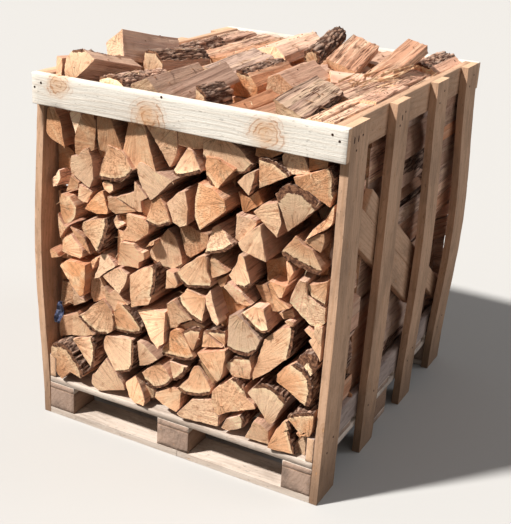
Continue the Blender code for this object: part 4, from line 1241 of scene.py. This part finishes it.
def cut_across(shell, centre, direction, step):
    """Cuts a shell by evenly spaced planes."""
    reaches = [(vertex.co - centre).dot(direction) for vertex in shell.verts]
    for number in range(math.ceil(min(reaches) / step), math.floor(max(reaches) / step) + 1):
        bmesh.ops.bisect_plane(
            shell, geom=shell.verts[:] + shell.edges[:] + shell.faces[:], dist=0.00001,
            plane_co=centre + direction * (number + 0.13) * step, plane_no=direction)


def build_board(node, along, across, finishes, slot, seed):
    """A CAD board cut fine, with worn edges, raised grain and its own coordinates."""
    shell = bmesh.new()
    shell.from_mesh(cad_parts[node].data)
    bmesh.ops.remove_doubles(shell, verts=shell.verts, dist=0.00002)
    bmesh.ops.dissolve_limit(
        shell, angle_limit=math.radians(0.5), verts=shell.verts, edges=shell.edges)
    low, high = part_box(node)
    centre = (low + high) / 2
    ways = along, across, along.cross(across)
    for direction, step in zip(ways, BOARD_STEPS):
        cut_across(shell, centre, direction, step)
    draw = random.Random(seed)
    tone = draw.uniform(*BOARD_LIGHTNESS), draw.uniform(*BOARD_WARMTH), NO_BARK
    shell.normal_update()
    grain, tones, moves = [], [], []
    for vertex in shell.verts:
        u, v, w = ((vertex.co - centre).dot(way) for way in ways)
        raised = ripple(v, w, u, 70, 5, seed)
        worn = ripple(v, w, u, 25, 22, seed * 2)
        square = max(abs(vertex.normal.dot(way)) for way in ways)
        wear = EDGE_WEAR * max(0.0, worn) if square < 0.95 else 0.0
        moves.append(vertex.normal * (RAISED_GRAIN * raised - wear))
        grain.extend((v, w, u + seed * 0.61))
        tones.extend(tone)
    for vertex, move in zip(shell.verts, moves):
        vertex.co += move
    for face in shell.faces:
        face.material_index = 1 if abs(face.normal.dot(along)) > 0.8 else 0
    mesh = to_mesh(shell, node)
    set_vectors(mesh, grain=grain, tone=tones)
    for finish in finishes:
        mesh.materials.append(finish)
    show(mesh, f"{node}_board", slot, node)


# ---------------------------------------------------------------- nails and slivers

POST_REACH = ((-0.600, -0.470), (-0.251, -0.132), (0.132, 0.251), (0.470, 0.600))
POST_NAILS = (                  # height, and how far from the post's middle along Y
    (1.163, 0.018), (1.128, -0.022), (0.205, 0.018), (0.168, -0.022))
RAIL_NAILS = (                  # x and height, in the front and back top rails
    (-0.515, 1.156), (-0.490, 1.172), (0.481, 1.178), (0.503, 1.163), (-0.056, 1.195))
DECK_NAILS_X, DECK_NAILS_Y = (-0.465, -0.43, -0.02, 0.025, 0.43, 0.468), 0.55
DECK_LEVEL = 0.2                # a nail that would stop above this isn't in the deck
STAPLES = (                     # y and height, on the right-hand posts
    (-0.577, 1.160), (-0.548, 1.159), (-0.200, 1.150))
TOP_SLIVERS, FRONT_SLIVERS, LONG_SPLINTERS, RAIL_HAIRS, CHIPS = 220, 90, 34, 130, 170
TOP_X, TOP_Y, ABOVE = (-0.46, 0.46), (-0.58, 0.58), 1.5     # where things drop on the load
NAIL_HEAD = {"Sides": 12, "Base radius": 0.0042, "Tip radius": 0.0036, "Length": 0.0014}
SLIVER = {"Sides": 4, "Base radius": 0.0016, "Tip radius": 0.0003, "Length": 0.034}
CHIP = {"Sides": 6, "Base radius": 0.0060, "Tip radius": 0.0044, "Length": 0.0030}


def scatter_tree():
    """Geometry Nodes: stands a small tapered stick on every point of a mesh."""
    tree = bpy.data.node_groups.new("scatter_sticks", "GeometryNodeTree")
    for name, kind in (("Points", "Geometry"), ("Sides", "Int"), ("Base radius", "Float"),
                       ("Tip radius", "Float"), ("Length", "Float"),
                       ("Finish", "Material")):
        tree.interface.new_socket(name, in_out="INPUT", socket_type=f"NodeSocket{kind}")
    tree.interface.new_socket("Sticks", in_out="OUTPUT", socket_type="NodeSocketGeometry")

    def node(kind, settings, inputs):
        made = tree.nodes.new(kind)
        for key, value in settings.items():
            setattr(made, key, value)
        for key, value in inputs.items():
            if isinstance(value, bpy.types.NodeSocket):
                tree.links.new(value, made.inputs[key])
            else:
                made.inputs[key].default_value = value
        return made

    def vector(name):
        attribute = node("GeometryNodeInputNamedAttribute", {"data_type": "FLOAT_VECTOR"},
                         {"Name": name})
        return attribute.outputs["Attribute"]

    given = node("NodeGroupInput", {}, {}).outputs
    stick = node("GeometryNodeMeshCone", {"fill_type": "NGON"}, {
        "Vertices": given["Sides"], "Side Segments": 1, "Radius Top": given["Tip radius"],
        "Radius Bottom": given["Base radius"], "Depth": given["Length"]})
    placed = node("GeometryNodeInstanceOnPoints", {}, {
        "Points": given["Points"], "Instance": stick.outputs["Mesh"],
        "Rotation": vector("turn"), "Scale": vector("size")})
    real = node("GeometryNodeRealizeInstances", {}, {0: placed.outputs[0]})
    painted = node("GeometryNodeSetMaterial", {}, {
        "Geometry": real.outputs[0], "Material": given["Finish"]})
    node("NodeGroupOutput", {}, {0: painted.outputs[0]})
    return tree


def scatter(name, tree, spots, slot, sizes, finish):
    """Makes one piece of small sticks. A spot is its place, heading, roll and size."""
    seeds = bpy.data.meshes.new(name)
    seeds.from_pydata([place for place, heading, roll, size in spots], [], [])
    turns, scales = [], []
    for place, heading, roll, size in spots:
        turn = heading.to_track_quat("Z", "Y").to_matrix() @ Matrix.Rotation(roll, 3, "Z")
        turns.extend(turn.to_euler())
        scales.extend(size)
    set_vectors(seeds, turn=turns, size=scales)
    holder = add_object(f"{name}_seeds", seeds)
    nodes = holder.modifiers.new("sticks", "NODES")
    nodes.node_group = tree
    given = {"Finish": finish, **sizes}
    for item in tree.interface.items_tree:
        if item.in_out == "INPUT" and item.name in given:
            nodes[item.identifier] = given[item.name]
    graph = bpy.context.evaluated_depsgraph_get()
    mesh = bpy.data.meshes.new_from_object(holder.evaluated_get(graph), depsgraph=graph)
    bpy.data.objects.remove(holder)
    mesh.name = name
    for attribute in ("turn", "size"):
        if attribute in mesh.attributes:
            mesh.attributes.remove(mesh.attributes[attribute])
    return show(mesh, name, slot, crease=50)


def surfaces(prefixes):
    """The finished pieces of some kinds, ready for finding where a ray meets them."""
    graph = bpy.context.evaluated_depsgraph_get()
    return [BVHTree.FromObject(item, graph) for item in bpy.context.scene.objects
            if item.type == "MESH" and not item.hide_render
            and item.name.startswith(prefixes)]


def first_hit(shells, start, heading):
    """The nearest place that a ray from start meets, with the surface's direction."""
    best = None
    for shell in shells:
        place, normal, index, gap = shell.ray_cast(start, heading)
        if place is not None and (best is None or gap < best[2]):
            best = place, normal, gap
    return best and best[:2]


def nail_spots():
    """Where nails are driven: a start out in the open, and the way to go from there."""
    for side in (-1, 1):
        for near, far in POST_REACH:
            for height, lean in POST_NAILS:
                start = Vector((side, (near + far) / 2 + lean, height))
                yield start, Vector((-side, 0, 0))
    for end in (-1, 1):
        for x, z in RAIL_NAILS:
            yield Vector((x, end, z)), Vector((0, -end, 0))
    for end in (-1, 1):
        for x in DECK_NAILS_X:
            yield Vector((x, end * DECK_NAILS_Y, 2.0)), DOWN


def build_nails(tree, finish):
    draw = random.Random(7)
    boards = surfaces(("post_", "top_rail", "bottom_rail", "deck_board"))
    spots = []
    for start, heading in nail_spots():
        place, normal = first_hit(boards, start, heading)
        if heading.z < 0 and place.z > DECK_LEVEL:
            continue
        spots.append((place + heading * 0.0006, -heading, draw.uniform(0, 6),
                      (1, draw.uniform(0.8, 1), 1)))
    for y, height in STAPLES:
        place, normal = first_hit(boards, Vector((1, y, height)), Vector((-1, 0, 0)))
        spots.append((place, X_AXIS, 0.0, (0.7, 2.4, 0.7)))
    scatter("nail_heads", tree, spots, "sawn_board", NAIL_HEAD, finish)


def build_slivers(tree, sliver_finish, chip_finish):
    """Slivers torn up from the logs and the rails, and chips of bark that lie about."""
    draw = random.Random(19)
    logs = surfaces(("logs_", "loose_"))
    slivers, chips = [], []

    def drop(x_reach, y_reach):
        """Where something dropped on the logs lands, and which way it faces there."""
        start = Vector((draw.uniform(*x_reach), draw.uniform(*y_reach), ABOVE))
        return first_hit(logs, start, DOWN) or (None, None)

    def lay(spots, place, heading, *size_reaches):
        size = [draw.uniform(*reach) for reach in size_reaches]
        spots.append((place, heading, draw.uniform(0, 6), size))

    while len(slivers) < TOP_SLIVERS:
        place, normal = drop(TOP_X, TOP_Y)
        if place is not None:
            heading = Vector((draw.gauss(0, 0.35), draw.choice((-1, 1)), draw.uniform(0, 0.4)))
            lay(slivers, place + normal * 0.0008, heading, (0.5, 1.3), (0.5, 1.3), (0.4, 1.6))
    while len(slivers) < TOP_SLIVERS + FRONT_SLIVERS:
        start = Vector((draw.uniform(-0.48, 0.48), -1.0, draw.uniform(0.17, 1.10)))
        place, normal = first_hit(logs, start, Y_AXIS) or (None, None)
        if place is not None and place.y <= -0.55 and abs(normal.y) <= 0.9:
            heading = Vector((draw.gauss(0, 0.5), -0.6, draw.gauss(0, 0.6)))
            lay(slivers, place, heading, (0.5, 1.1), (0.5, 1.1), (0.3, 0.8))
    for number in range(LONG_SPLINTERS):
        place, normal = drop((0.27, 0.40), (-0.12, 0.08))
        if place is not None:
            heading = Vector((draw.gauss(0.35, 0.25), 1, draw.uniform(0.02, 0.3)))
            lay(slivers, place + normal * 0.004, heading, (1.2, 3.2), (0.8, 1.6), (1.5, 4.0))
    for number in range(RAIL_HAIRS):
        place = Vector((draw.uniform(-0.52, 0.52), draw.uniform(-0.6245, -0.603), 1.1032))
        heading = Vector((draw.gauss(0, 0.6), draw.gauss(-0.2, 0.4), -1))
        lay(slivers, place, heading, (0.2, 0.5), (0.2, 0.5), (0.10, 0.28))
    while len(chips) < CHIPS:
        place, normal = drop(TOP_X, TOP_Y)
        if place is not None:
            lay(chips, place + normal * 0.0006, normal, (0.3, 1.0), (0.2, 0.6), (0.3, 0.8))
    scatter("wood_slivers", tree, slivers, "split_log", SLIVER, sliver_finish)
    scatter("bark_chips", tree, chips, "split_log", CHIP, chip_finish)


def build_scrap(finish):
    """A crumpled strip of film, pinched at one end, standing by the left post."""
    shell = bmesh.new()
    rows, columns = 13, 6
    grid = []
    for row in range(rows):
        up = row / (rows - 1)
        width = 0.010 + 0.022 * math.sin(math.pi * (0.15 + 0.8 * up))
        line = []
        for column in range(columns):
            over = column / (columns - 1) - 0.5
            crumple = noise.noise(Vector((over * 5, up * 6, 3.7)))
            line.append(shell.verts.new((
                -0.470 + 0.020 * up + over * width + 0.004 * crumple,
                -0.5905 - 0.010 * abs(over) - 0.012 * crumple - 0.004 * math.sin(up * 9),
                0.352 + 0.086 * up + 0.006 * noise.noise(Vector((over * 7, up * 3, 8.1))),
            )))
        grid.append(line)
    for low, high in zip(grid, grid[1:]):
        for index in range(columns - 1):
            shell.faces.new((low[index], low[index + 1], high[index + 1], high[index]))
    bmesh.ops.solidify(shell, geom=shell.faces[:], thickness=0.0008)
    bmesh.ops.recalc_face_normals(shell, faces=shell.faces[:])
    mesh = to_mesh(shell, "film_scrap")
    mesh.materials.append(finish)
    show(mesh, "film_scrap", "split_log", crease=60)


# ---------------------------------------------------------------- floor


def build_floor():
    shell = bmesh.new()
    bmesh.ops.create_grid(shell, x_segments=1, y_segments=1, size=FLOOR_REACH)
    mesh = to_mesh(shell, "floor")
    mesh.materials.append(make_floor_paint())
    floor = add_object("floor", mesh)
    floor.location.z = -FLOOR_DROP


make_camera()
for sun_name, sun in SUNS.items():
    make_sun(sun_name, *sun)
make_world()
bpy.context.scene.view_settings.view_transform = "Standard"
build_floor()

log_woods = (make_end_grain(), make_split_face(), make_bark())
for row_number in range(len(ROWS)):
    build_row(row_number, log_woods)
build_loose_logs(log_woods)

board_finishes = make_board_finishes()
for board_seed, (board, grain_way, width_way, kind, board_slot) in enumerate(board_layout()):
    build_board(board, grain_way, width_way, board_finishes[kind], board_slot, board_seed)

sticks = scatter_tree()
build_nails(sticks, make_nail_steel())
build_slivers(sticks, make_loose_wood("sliver_wood", paint(236, 206, 172), paint(186, 140, 104)),
              make_loose_wood("chip_bark", paint(176, 134, 108), paint(96, 62, 46)))
build_scrap(make_scrap_film())
